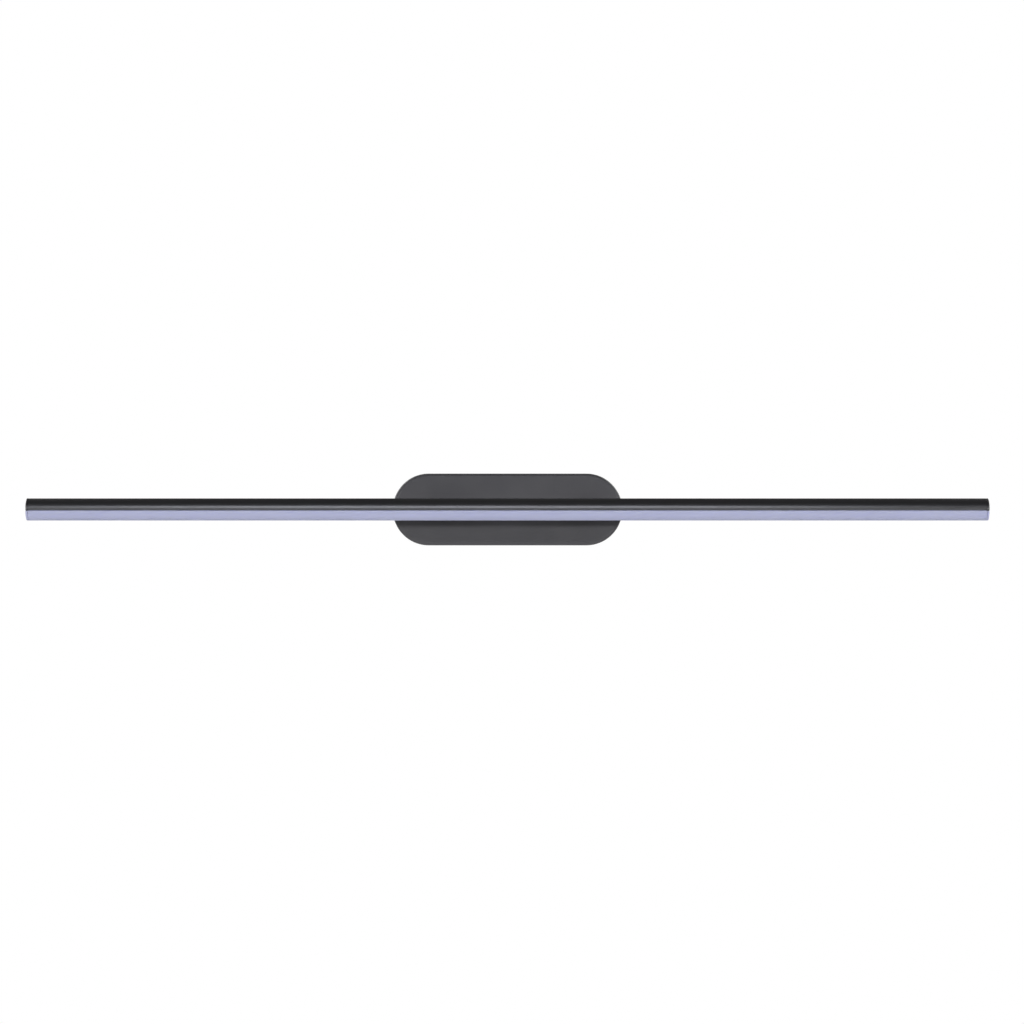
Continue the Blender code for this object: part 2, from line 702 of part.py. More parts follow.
def make_terminal_screws(brass, steel):
    radius = POLE_SCREW / 2
    tip = pole_y - POLE_BORE / 2 - GAP
    for pole, pole_name in enumerate(("live", "neutral", "earth")):
        profile = [(0.0, 0.0), (0.0, radius), (POLE_SCREW_LENGTH, radius), (POLE_SCREW_LENGTH, 0.0)]
        made = turned(f"terminal_screw_{pole_name}", profile, "Z", SMALL_SEGMENTS)
        slot_half = 0.2 * radius
        slot = box(
            "slot",
            (-POLE_SCREW, -slot_half, 0.8 * POLE_SCREW_LENGTH),
            (POLE_SCREW, slot_half, 2 * POLE_SCREW_LENGTH),
        )
        cut(made, slot)
        location = (pole_x(pole), tip, terminal_middle_z())
        place(made, brass, location=location, rotation=FACING_ROOM)
    length = -terminal_front
    fixing = screw("terminal_block_screw", M3_SHANK, TERMINAL_SCREW_HEAD, M3_HEAD_HEIGHT, length)
    x, z = terminal_screw_spot()
    place(fixing, steel, location=(x, terminal_front - GAP, z), rotation=FACING_ROOM)
    earth = screw("earth_screw", M3_SHANK, M4_HEAD, M4_HEAD_HEIGHT, BRACKET_THICKNESS)
    place(earth, brass, location=(EARTH_X, driver_back, earth_z), rotation=FACING_ROOM)


# ---------------------------------------------------------------- leads
def output_y():
    return driver_board_front - 2 * SUPPLY_LEAD_RADIUS


def output_z():
    return driver_top / 3


def make_mains_leads(finishes):
    """Live and neutral up into the driver, earth round to the bracket's earth screw."""
    low = terminal_middle_z() + POLE_WELL / 2
    inside = DRIVER_WALL + 2 * LEAD_SPACING
    for pole, name, finish in ((0, "live_lead", "wire_brown"), (1, "neutral_lead", "wire_blue")):
        x = pole_x(pole)
        bow = LEAD_PORT / 2
        middle = terminal_high / 2
        route = [(x, pole_y, low), (x, pole_y, terminal_high), (x - bow, pole_y - bow, middle)]
        route += [(x, pole_y, 0.0), (x, pole_y, inside)]
        place(lead(name, route, MAINS_LEAD_RADIUS), finishes[finish])
    x = pole_x(2)
    start = terminal_middle_z() - POLE_WELL / 2
    floor = (terminal_low - canopy_inner_half) / 2
    beside = earth_z - M4_HEAD / 2 - GAP
    screw_y = driver_back - M4_HEAD_HEIGHT / 2
    route = [(x, pole_y, start), (x, pole_y, terminal_low), ((3 * x + EARTH_X) / 4, pole_y, floor)]
    route += [((x + 2 * EARTH_X) / 3, (pole_y + screw_y) / 2, floor), (EARTH_X, screw_y, beside)]
    place(lead("earth_lead", route, MAINS_LEAD_RADIUS), finishes["wire_green"])


def make_supply_lead(finish):
    """Low-voltage lead from the driver through the right arm to the tilt axis."""
    start_x = DRIVER_LENGTH / 2 - DRIVER_WALL - 2 * SUPPLY_LEAD_RADIUS
    spigot_end = -CANOPY_DEPTH - GAP + SPIGOT_LENGTH
    under = (spigot_end + driver_back) / 2
    clear_x = DRIVER_LENGTH / 2 + DRIVER_EAR
    end_x = trunnion_end + GAP
    bend = ARM_X - end_x
    route = [
        (start_x, output_y(), output_z()),
        (DRIVER_LENGTH / 2, output_y(), output_z()),
        ((DRIVER_LENGTH / 2 + clear_x) / 2, output_y(), 0.8 * output_z()),
        (clear_x + bend, under, 0.25 * output_z()),
        (ARM_X - bend, under, 0.0),
        (ARM_X - 0.2 * bend, (under + spigot_end) / 2, 0.0),
        (ARM_X, spigot_end - bend, 0.0),
        (ARM_X, (pivot_y - CANOPY_DEPTH) / 2, 0.0),
        (ARM_X, pivot_y + 2 * bend, 0.0),
        (ARM_X - 0.02 * bend, pivot_y + bend, 0.0),
        (ARM_X - 0.3 * bend, pivot_y + 0.3 * bend, 0.0),
        (end_x, pivot_y, 0.0),
    ]
    place(lead("supply_lead", route, SUPPLY_LEAD_RADIUS), finish)


def make_bar_lead(finish, pivot):
    """The same lead past the tilt axis: along the trunnion, into the bar and through its web."""
    inward = -(pivot_to_bar - lead_radius_in_bar)
    foot = -(pivot_to_bar - bar_radius)
    bend = LEAD_BEND
    drop = lead_radius_in_bar * math.sin(turn) + WEB_THICKNESS
    lean, down = math.sin(turn), math.cos(turn)
    route = [
        (trunnion_end, 0.0, 0.0),
        (hub_face, 0.0, 0.0),
        (wire_hole_x + bend, 0.0, 0.0),
        (wire_hole_x + 0.3 * bend, -0.3 * bend, 0.0),
        (wire_hole_x, -bend, 0.0),
        (wire_hole_x, foot, 0.0),
        (wire_hole_x - 0.3 * bend, inward + 0.3 * bend, 0.0),
        (wire_hole_x - 1.2 * bend, inward, 0.0),
        (wire_hole_x - 3 * bend, inward, 0.0),
        (LEAD_TURN_X + drop, inward, 0.0),
        (LEAD_TURN_X + 0.3 * drop, inward - 0.3 * drop * lean, -0.3 * drop * down),
        (LEAD_TURN_X, inward - drop * lean, -drop * down),
    ]
    place(lead("bar_lead", route, SUPPLY_LEAD_RADIUS), finish, pivot)


# ---------------------------------------------------------------- arms
def make_arm(side_name, side, finish):
    """Hollow arm: threaded spigot, flange, post and a barrel along X that holds the trunnion."""
    face = -CANOPY_DEPTH - GAP
    spigot = SPIGOT_DIAMETER / 2
    flange = FLANGE_DIAMETER / 2
    post = POST_DIAMETER / 2
    chamfer = 2 * GAP
    profile = [(face + SPIGOT_LENGTH, 0.0), (face + SPIGOT_LENGTH, spigot - chamfer)]
    profile += [(face + SPIGOT_LENGTH - chamfer, spigot), (face, spigot), (face, flange)]
    profile += [(face - FLANGE_THICKNESS + chamfer, flange)]
    profile += [(face - FLANGE_THICKNESS, flange - chamfer), (face - FLANGE_THICKNESS, post)]
    profile += [(pivot_y, post), (pivot_y, 0.0)]
    arm = turned(f"arm_{side_name}", profile, "Y")
    radius = BARREL_DIAMETER / 2
    inner = -side * BARREL_INNER_REACH
    outer = side * BARREL_OUTER_REACH
    barrel_profile = [(inner, 0.0), (inner, radius - chamfer), (inner + side * chamfer, radius)]
    barrel_profile += [(outer, radius), (outer, 0.0)]
    barrel = turned("barrel", barrel_profile, "X")
    barrel.location = (0.0, pivot_y, 0.0)
    fuse(arm, barrel)
    cavity = sorted((inner + side * BARREL_END_WALL, 2 * outer))
    hole = sorted((2 * inner, 0.0))
    bore_start = pivot_y + cavity_radius / 2
    centre = (pivot_y, 0.0)
    cut(
        arm,
        cylinder("cavity", cavity_radius, "X", *cavity, centre),
        cylinder("axle_hole", TRUNNION_DIAMETER / 2 + GAP, "X", *hole, centre),
        cylinder("wire_bore", WIRE_BORE / 2, "Y", bore_start, 0.0),
    )
    place(arm, finish, location=(side * ARM_X, 0.0, 0.0))


def make_knuckle_cap(side_name, side, finish):
    """Push-in cap on the barrel's outer end."""
    radius = BARREL_DIAMETER / 2
    spigot = cavity_radius - GAP
    chamfer = 2 * GAP
    plate = side * GAP
    outer = side * (GAP + KNUCKLE_CAP_PLATE)
    inner = -side * KNUCKLE_CAP_SPIGOT
    profile = [(inner, 0.0), (inner, spigot), (plate, spigot), (plate, radius)]
    profile += [(outer - side * chamfer, radius), (outer, radius - chamfer), (outer, 0.0)]
    cap = turned(f"knuckle_cap_{side_name}", profile, "X")
    place(cap, finish, location=(side * barrel_end, pivot_y, 0.0))


def make_arm_fixings(side_name, side, finish):
    """Washer and nut on the arm's spigot, inside the canopy."""
    bore = SPIGOT_DIAMETER / 2 + GAP
    start = canopy_inner_face + GAP
    end = start + ARM_WASHER_THICKNESS
    washer = ring(f"arm_washer_{side_name}", ARM_WASHER_DIAMETER / 2, bore, "Y", start, end)
    place(washer, finish, location=(side * ARM_X, 0.0, 0.0))
    start = end + GAP
    nut = prism(f"arm_nut_{side_name}", hexagon(ARM_NUT_FLATS), "Y", start, start + ARM_NUT_HEIGHT)
    cut(nut, cylinder("thread", bore, "Y", 2 * start, 0.0))
    place(nut, finish, location=(side * ARM_X, 0.0, 0.0))


# ---------------------------------------------------------------- tilting knuckles
def make_saddle(side_name, side, finish, pivot):
    """Hub and trunnion on the tilt axis, with a foot curved to fit the back of the bar."""
    def along(*distances):
        return sorted(side * distance for distance in distances)

    back = -(pivot_to_bar - bar_radius - GAP - SADDLE_THICKNESS)
    front = -(pivot_to_bar - bar_radius - GAP) - SADDLE_WRAP
    half = SADDLE_WIDTH / 2
    inner_x, outer_x = along(saddle_start, hub_face)
    corner = SADDLE_THICKNESS / 2
    foot = [(front, -half), (back - corner, -half), (back, -half + corner)]
    foot += [(back, half - corner), (back - corner, half), (front, half)]
    saddle = prism(f"saddle_{side_name}", foot, "X", inner_x, outer_x)
    chamfer = side * 2 * GAP
    hub_radius = BARREL_DIAMETER / 2
    trunnion = TRUNNION_DIAMETER / 2
    near, far, tip = side * hub_start, side * hub_face, side * trunnion_end
    profile = [(near, 0.0), (near, hub_radius - 2 * GAP), (near + chamfer, hub_radius)]
    profile += [(far, hub_radius), (far, trunnion), (tip, trunnion), (tip, 0.0)]
    fuse(saddle, turned("hub", profile, "X"))
    seat_radius = bar_radius + GAP
    tools = [
        cylinder("bore", WIRE_BORE / 2, "X", *along(wire_hole_x - WIRE_BORE / 2, 2 * hub_face)),
        cylinder("drop", WIRE_BORE / 2 - GAP, "Y", -pivot_to_bar, 0.0, (side * wire_hole_x, 0.0)),
    ]
    for x in saddle_screw_places():
        tools.append(
            cylinder("screw_hole", M3_HOLE / 2, "Y", -pivot_to_bar, 0.0, (side * x, 0.0), SMALL_SEGMENTS)
        )
    reach = along(0.0, 2 * hub_face)
    tools.append(cylinder("seat", seat_radius, "X", *reach, (-pivot_to_bar, 0.0), 2 * SEGMENTS))
    cut(saddle, *tools)
    place(saddle, finish, pivot)


def saddle_screw_places():
    return [saddle_start + offset for offset in SADDLE_SCREW_OFFSETS]


def make_knuckle_hardware(side_name, side, brass, steel, nylon, pivot):
    """Friction washer outside the barrel, spring washer and nut inside it."""
    bore = TRUNNION_DIAMETER / 2 + GAP
    start, end = side * (hub_face + GAP), side * (hub_face + GAP + FRICTION_WASHER)
    outer = BARREL_DIAMETER / 2 - 2 * GAP
    washer = ring(f"friction_washer_{side_name}", outer, bore, "X", start, end)
    place(washer, nylon, pivot)

    rim = cavity_radius - GAP
    start, end = side * spring_start, side * (spring_start + SPRING_WASHER)
    dish = side * SPRING_DISH
    profile = [(start, rim), (end - dish, rim), (end, bore), (start + dish, bore)]
    place(turned(f"spring_washer_{side_name}", profile, "X"), steel, pivot)

    start, end = side * nut_start, side * (nut_start + PIVOT_NUT_HEIGHT)
    nut = prism(f"pivot_nut_{side_name}", hexagon(pivot_nut_flats), "X", start, end)
    cut(nut, cylinder("thread", bore, "X", 0.0, 2 * end))
    place(nut, brass, pivot)


def make_saddle_fixings(side_name, side, finish, pivot):
    """Nut plate inside the bar and the two screws that hold the saddle to it."""
    seat = -(pivot_to_bar - bar_radius - GAP - SADDLE_THICKNESS) + GAP
    places = saddle_screw_places()
    middle = sum(places) / len(places)
    half = NUT_PLATE_LENGTH / 2
    plate = box(
        f"nut_plate_{side_name}",
        (side * middle - half, -pivot_to_bar + plate_inner, -plate_half_width),
        (side * middle + half, -pivot_to_bar + plate_outer, plate_half_width),
    )
    tools = []
    for x in places:
        tools.append(
            cylinder("hole", M3_HOLE / 2, "Y", -pivot_to_bar, 0.0, (side * x, 0.0), SMALL_SEGMENTS)
        )
    cut(plate, *tools)
    place(plate, finish, pivot)
    length = seat - (-pivot_to_bar + plate_inner) + GAP
    for number, x in enumerate(places, 1):
        name = f"saddle_screw_{side_name}_{number}"
        made = screw(name, M3_SHANK, M3_HEAD, M3_HEAD_HEIGHT, length)
        place(made, finish, pivot, (side * x, seat, 0.0), FACING_WALL)


# ---------------------------------------------------------------- light bar
def make_bar_housing(finish, bar):
    """Metal half of the bar: a round shell with a web for the board and a wiring duct behind it."""
    rib = bore_radius - RIB_HEIGHT
    web_angle = math.degrees(math.asin(WEB_THICKNESS / bore_radius))
    section = arc(bar_radius, metal_low, metal_high, 2 * SEGMENTS)
    section += arc(rib, metal_high, metal_high - RIB_ARC, 2)
    section += arc(bore_radius, metal_high - RIB_ARC, 180 + web_angle, 4)
    section += arc(bore_radius, -web_angle, metal_low + RIB_ARC, 4)
    section += arc(rib, metal_low + RIB_ARC, metal_low, 2)
    housing = prism("bar_housing", section, "X", -body_half, body_half)

    duct = prism("duct", arc(bore_radius, 0, 180, SEGMENTS), "X", -BAR_LENGTH, BAR_LENGTH)
    bosses = []
    for angle in PORT_ANGLES:
        centre = polar(port_radius, angle)
        bosses.append(cylinder("boss", PORT_BOSS_RADIUS, "X", -2 * BAR_LENGTH, 2 * BAR_LENGTH, centre))
    cut(duct, *bosses)
    cut(housing, duct)

    tools = []
    for side in SIDES.values():
        for angle in PORT_ANGLES:
            depth = sorted((side * (body_half - PORT_DEPTH), side * BAR_LENGTH))
            centre = polar(port_radius, angle)
            tools.append(cylinder("port", M3_HOLE / 2, "X", *depth, centre, SMALL_SEGMENTS))
        for x in saddle_screw_places():
            tools.append(back_hole(side * x, M3_HOLE / 2))
    tools.append(back_hole(wire_hole_x, WIRE_BORE / 2))
    web_hole = (LEAD_TURN_X, lead_radius_in_bar * math.cos(turn))
    through = (-2 * WEB_THICKNESS, WEB_THICKNESS)
    tools.append(cylinder("web_hole", 2 * SUPPLY_LEAD_RADIUS, "Z", *through, web_hole))
    cut(housing, *tools)
    place(housing, finish, bar)


def back_hole(x, radius):
    """A hole through the bar's back wall, in line with the tilt axis."""
    hole = cylinder("back_hole", radius, "Y", bar_radius / 2, 2 * bar_radius, (x, 0.0), SMALL_SEGMENTS)
    hole.rotation_euler = (turn, 0.0, 0.0)
    return hole


def make_lens_diffuser(finish, bar):
    """Opal lens: a shallow trough with tongues that snap behind the housing's ribs."""
    tip = LENS_HALF_ANGLE + TONGUE_ARC - RIB_ARC
    barb = tip - BARB_ARC
    inner = bar_radius - LENS_WALL
    section = arc(bar_radius, -90 - lens_half, -90 + lens_half, SEGMENTS)
    section += arc(tongue_outer, -90 + lens_half, -90 + barb, 3)
    section += arc(barb_radius, -90 + barb, -90 + tip, 2)
    section += arc(tongue_inner, -90 + tip, -90 + shoulder_half, 5)
    section += arc(inner, -90 + shoulder_half, -90 - shoulder_half, SEGMENTS)
    section += arc(tongue_inner, -90 - shoulder_half, -90 - tip, 5)
    section += arc(barb_radius, -90 - tip, -90 - barb, 2)
    section += arc(tongue_outer, -90 - barb, -90 - lens_half, 3)
    lens = prism("lens_diffuser", section, "X", -body_half, body_half)
    place(lens, finish, bar)


def make_led_board(finish, bar):
    """Slim white board with a row of LED packages facing the lens."""
    half_width = math.sqrt(tongue_inner**2 - board_bottom**2) - BOARD_SIDE_CLEARANCE
    half_length = body_half - BOARD_END_CLEARANCE
    corner = (half_length, half_width, board_top)
    board = box("led_board", (-half_length, -half_width, board_bottom), corner)
    count = int(2 * (half_length - CHIP_LENGTH) / CHIP_PITCH)
    first = -(count - 1) * CHIP_PITCH / 2
    bm = bmesh.new()
    for number in range(count):
        middle = first + number * CHIP_PITCH
        corners = [(-CHIP_LENGTH / 2, -CHIP_WIDTH / 2), (CHIP_LENGTH / 2, -CHIP_WIDTH / 2)]
        corners += [(CHIP_LENGTH / 2, CHIP_WIDTH / 2), (-CHIP_LENGTH / 2, CHIP_WIDTH / 2)]
        rings = []
        for z in (board_bottom - CHIP_HEIGHT, board_bottom + BOARD_THICKNESS / 3):
            rings.append([bm.verts.new((middle + x, y, z)) for x, y in corners])
            bm.faces.new(rings[-1])
        bridge(bm, *rings)
    fuse(board, to_object("chips", bm))
    place(board, finish, bar)


def make_end_caps(side_name, side, metal, opal, bar):
    """Metal end cap over the housing, and an opal cap that plugs the lens."""
    inner, outer = sorted((side * (body_half + GAP), side * BAR_LENGTH / 2))
    outline = arc(bar_radius, metal_low, metal_high, 2 * SEGMENTS)
    cap = prism(f"end_cap_{side_name}", outline, "X", inner, outer)
    tools = []
    head = M3_HEAD / 2 + GAP
    for angle in PORT_ANGLES:
        start, end = side * (body_half - BAR_WALL), side * BAR_LENGTH / 2
        seat = end - side * M3_HEAD_HEIGHT
        past = end + side * GAP
        slope = (head - M3_HOLE / 2) / M3_HEAD_HEIGHT
        profile = [(start, 0.0), (start, M3_HOLE / 2), (seat, M3_HOLE / 2)]
        profile += [(past, head + slope * GAP), (past, 0.0)]
        hole = turned("countersink", profile, "X", SMALL_SEGMENTS)
        hole.location = (0.0, *polar(port_radius, angle))
        tools.append(hole)
    cut(cap, *tools)
    place(cap, metal, bar)

    outline = arc(bar_radius, -90 - lens_half, -90 + lens_half, SEGMENTS)
    lens_cap = prism(f"lens_cap_{side_name}", outline, "X", inner, outer)
    plug_radius = bar_radius - LENS_WALL - GAP
    spread = shoulder_half - math.degrees(LENS_PLUG_CLEARANCE / plug_radius)
    start, end = side * (body_half - LENS_PLUG_DEPTH), side * (body_half + 2 * GAP)
    plug = prism("plug", arc(plug_radius, -90 - spread, -90 + spread, SEGMENTS), "X", start, end)
    fuse(lens_cap, plug)
    place(lens_cap, opal, bar)


def make_end_cap_screws(side_name, side, finish, bar):
    length = END_CAP_THICKNESS + PORT_DEPTH / 2
    for number, angle in enumerate(PORT_ANGLES, 1):
        name = f"end_cap_screw_{side_name}_{number}"
        made = screw(name, M3_SHANK, M3_HEAD, M3_HEAD_HEIGHT - GAP, length, countersunk=True)
        location = (side * (BAR_LENGTH / 2 - M3_HEAD_HEIGHT), *polar(port_radius, angle))
        place(made, finish, bar, location, (0.0, side * math.radians(90), 0.0))


# ---------------------------------------------------------------- assembly
def make_frames():
    """Empties on the tilt axis and on the bar's centre line."""
    pivot = bpy.data.objects.new("tilt_axis", None)
    pivot.location = (0.0, pivot_y, 0.0)
    bar = bpy.data.objects.new("bar_centre_line", None)
    bar.parent = pivot
    bar.location = (0.0, -pivot_to_bar, 0.0)
    bar.rotation_euler = (-turn, 0.0, 0.0)
    for empty in (pivot, bar):
        bpy.context.collection.objects.link(empty)
    return pivot, bar


def shade():
    for piece in bpy.data.objects:
        if piece.type == "MESH":
            piece.data.shade_smooth()
            piece.data.set_sharp_from_angle(angle=math.radians(SHARP_ANGLE))


def main():
    for old in list(bpy.data.objects):
        bpy.data.objects.remove(old)
    finishes = make_materials()
    steel, brass, nylon = finishes["zinc_steel"], finishes["brass"], finishes["nylon_white"]
    canopy_black, bar_black = finishes["canopy_black"], finishes["bar_black"]
    opal = finishes["opal_diffuser"]
    pivot, bar = make_frames()

    make_canopy(canopy_black)
    make_wall_bracket(steel)
    make_cable_grommet(finishes["rubber_black"])
    make_canopy_screws(canopy_black)

    make_driver_case(nylon)
    make_driver_cover(nylon)
    make_driver_board(finishes["board_green"])
    make_driver_parts(finishes["rubber_black"], steel)
    make_driver_screws(steel)
    make_terminal_block(nylon)
    make_terminal_screws(brass, steel)
    make_mains_leads(finishes)
    make_supply_lead(finishes["wire_grey"])

    for side_name, side in SIDES.items():
        make_arm(side_name, side, canopy_black)
        make_arm_fixings(side_name, side, steel)
        make_knuckle_cap(side_name, side, canopy_black)
        make_saddle(side_name, side, bar_black, pivot)
        make_knuckle_hardware(side_name, side, brass, steel, nylon, pivot)
        make_saddle_fixings(side_name, side, steel, pivot)
        make_end_caps(side_name, side, bar_black, opal, bar)
        make_end_cap_screws(side_name, side, bar_black, bar)

    make_bar_housing(bar_black, bar)
    make_lens_diffuser(opal, bar)
    make_led_board(finishes["board_white"], bar)
    make_bar_lead(finishes["wire_grey"], pivot)
    shade()


main()
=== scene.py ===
import json
import math

import bmesh
import bpy
from mathutils import Matrix, Vector


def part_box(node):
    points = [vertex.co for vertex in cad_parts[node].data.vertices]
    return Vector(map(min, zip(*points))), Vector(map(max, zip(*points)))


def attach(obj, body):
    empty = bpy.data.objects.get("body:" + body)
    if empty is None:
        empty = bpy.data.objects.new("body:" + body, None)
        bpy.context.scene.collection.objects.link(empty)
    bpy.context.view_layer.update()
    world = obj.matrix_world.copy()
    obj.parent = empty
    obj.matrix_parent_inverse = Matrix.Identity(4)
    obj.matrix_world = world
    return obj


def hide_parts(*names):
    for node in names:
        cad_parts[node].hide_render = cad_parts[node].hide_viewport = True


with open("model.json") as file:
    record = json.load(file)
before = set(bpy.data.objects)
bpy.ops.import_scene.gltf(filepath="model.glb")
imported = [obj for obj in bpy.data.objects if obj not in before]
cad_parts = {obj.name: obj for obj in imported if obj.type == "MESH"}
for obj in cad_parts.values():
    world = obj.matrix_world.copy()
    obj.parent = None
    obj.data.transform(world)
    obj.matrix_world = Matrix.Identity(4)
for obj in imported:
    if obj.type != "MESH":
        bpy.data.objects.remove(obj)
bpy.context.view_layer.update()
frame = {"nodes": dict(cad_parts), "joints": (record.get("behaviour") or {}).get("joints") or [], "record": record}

# ---------------------------------------------------------------- places, read from the frame
canopy_low, canopy_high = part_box("canopy")
housing_low, housing_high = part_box("bar_housing")
arm_low, arm_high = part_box("arm_right")
saddle_low, saddle_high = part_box("saddle_right")
washer_low, washer_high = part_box("arm_washer_right")
knuckle_low, knuckle_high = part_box("knuckle_cap_right")
nut_low, nut_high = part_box("pivot_nut_right")
friction_low, friction_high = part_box("friction_washer_right")

pivot = Vector(frame["joints"][0]["pos_m"])
bar_radius = (housing_high.y - housing_low.y) / 2
bar_centre = Vector((0.0, (housing_high.y + housing_low.y) / 2, housing_high.z - bar_radius))
bar_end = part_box("end_cap_right")[1].x
plug_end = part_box("lens_cap_right")[0].x
body_end = housing_high.x
arm_x = (washer_low.x + washer_high.x) / 2
canopy_radius = (canopy_high.z - canopy_low.z) / 2
canopy_half = (canopy_high.x - canopy_low.x) / 2
canopy_back = canopy_high.y
canopy_face = canopy_low.y
barrel_radius = (arm_high.z - arm_low.z) / 2
pivot_to_bar = pivot.y - bar_centre.y

# ---------------------------------------------------------------- sizes shared with the CAD part
GAP = 0.0003  # clearance between pieces
BAR_WALL = 0.0015
LENS_TURN = math.radians(24.0)  # how far the optical axis leans towards the room
LENS_HALF_ANGLE = 63.5  # degrees from the optical axis to the edge of the metal
SEAM_WIDTH = 0.0008  # open joint line between metal and lens
RIB_HEIGHT = 0.0006
RIB_ARC = 4.0  # this and the next arcs in degrees
WEB_THICKNESS = 0.0015
TONGUE_WALL = 0.0010
TONGUE_ARC = 12.5
BARB_ARC = 6.0
SHOULDER_ARC = 7.5
PORT_ANGLES = (84.0, 144.0)  # screw ports for the end caps
PORT_SET_IN = 0.0022
PORT_BOSS_RADIUS = 0.0026
PORT_DEPTH = 0.0140
PLUG_CLEARANCE = 0.0008
CANOPY_WALL = 0.0015
CANOPY_RIM = 0.0040
POST_RADIUS = 0.0060
FLANGE_RADIUS = 0.0090
FLANGE_THICKNESS = 0.0030
SPIGOT_RADIUS = 0.0050
BARREL_END_WALL = 0.0050
BARREL_CAVITY_CLEARANCE = 0.0004
TRUNNION_RADIUS = 0.0040
WIRE_BORE_RADIUS = 0.0025
WIRE_DROP_RADIUS = 0.0022
WIRE_HOLE_OFFSET = 0.0062
HUB_LENGTH = 0.0127
SADDLE_HALF_WIDTH = 0.0080
SADDLE_THICKNESS = 0.0034
SADDLE_WRAP = 0.0027
SADDLE_SCREWS = (0.005, 0.017)  # from the inner end of the saddle
M3_HOLE = 0.0016
M3_SHANK = 0.0013
M3_HEAD = 0.0027
M3_HEAD_HEIGHT = 0.0018
M4_HOLE = 0.0020
M4_SHANK = 0.0017
M4_HEAD = 0.0035
M4_HEAD_HEIGHT = 0.0022

# ---------------------------------------------------------------- edges and facets
SEAM_EASE = 0.0003  # edges along the bar
CAP_EDGE = 0.0004  # rims of the end caps
CANOPY_LIP = 0.0003  # the pan's open edge
ARM_EDGE = 0.0006
ARM_BLEND = 0.0018  # from the post to the flange
FLANGE_STEP = 0.0002
BARREL_EDGE = 0.0007
KNUCKLE_CAP_EDGE = 0.0005
DISH_DEPTH = 0.0003  # shallow dish in the knuckle cap
DISH_RIM = 0.55  # of the barrel's radius
DISH_FLOOR = 0.50
FOOT_EASE = 0.0009
FOOT_EDGE = 0.0005
HUB_EDGE = 0.0006
WASHER_EDGE = 0.0002
HEAD_EDGE = 0.0001
HEAD_DOME = 0.45  # of the head's height
DOME_ANGLES = (75, 50, 25, 0)
TIP_LENGTH = 0.0005
TIP_DEPTH = 0.0004
SOCKET_FLATS = 0.9  # of the head's radius
SOCKET_FLOOR = 0.3  # of the head's height

ROUND = 96  # sides of a large round piece
SMALL_ROUND = 40  # sides of a screw
HOLE_SIDES = 32
AXLE_SIDES = 48
CAVITY_SIDES = 64
SEAT_SIDES = 180
CANOPY_END_STEPS = 48  # steps round an arc, from here on
RIM_STEPS = 12
BLEND_STEPS = 5
EDGE_STEPS = 3
METAL_STEPS = 160
LENS_STEPS = 120
LENS_INNER_STEPS = 96
DUCT_STEPS = 64
WALL_STEPS = 10
TONGUE_STEPS = 6
BARB_STEPS = 4
RIB_STEPS = 4

NO_RADIUS = 1e-7  # a point on the axis of a turned piece
WELD = 0.000001  # points closer than this after a Boolean are one
STRAIGHT = -0.94  # cosine between two edges that hardly turn
EASE_SHARE = 0.45  # of the shorter edge, the most that a rounded corner takes
NOISE_LOW, NOISE_HIGH = 0.3, 0.7  # most of a noise lies between these
SHARP_ANGLE = 38.0  # degrees; sharper edges stay crisp
SHARP_ANGLE_BAR = 30.0
SIDES = {"left": -1, "right": 1}

bore_radius = bar_radius - BAR_WALL
port_radius = bore_radius - PORT_SET_IN
metal_low = LENS_HALF_ANGLE - 90.0
metal_high = 270.0 - LENS_HALF_ANGLE
lens_half = LENS_HALF_ANGLE - math.degrees(SEAM_WIDTH / bar_radius)
shoulder_half = lens_half - SHOULDER_ARC
cavity_radius = (nut_high.y - nut_low.y) / 2 + BARREL_CAVITY_CLEARANCE
bar_matrix = Matrix.Translation(bar_centre) @ Matrix.Rotation(-LENS_TURN, 4, "X")
pivot_matrix = Matrix.Translation(pivot)


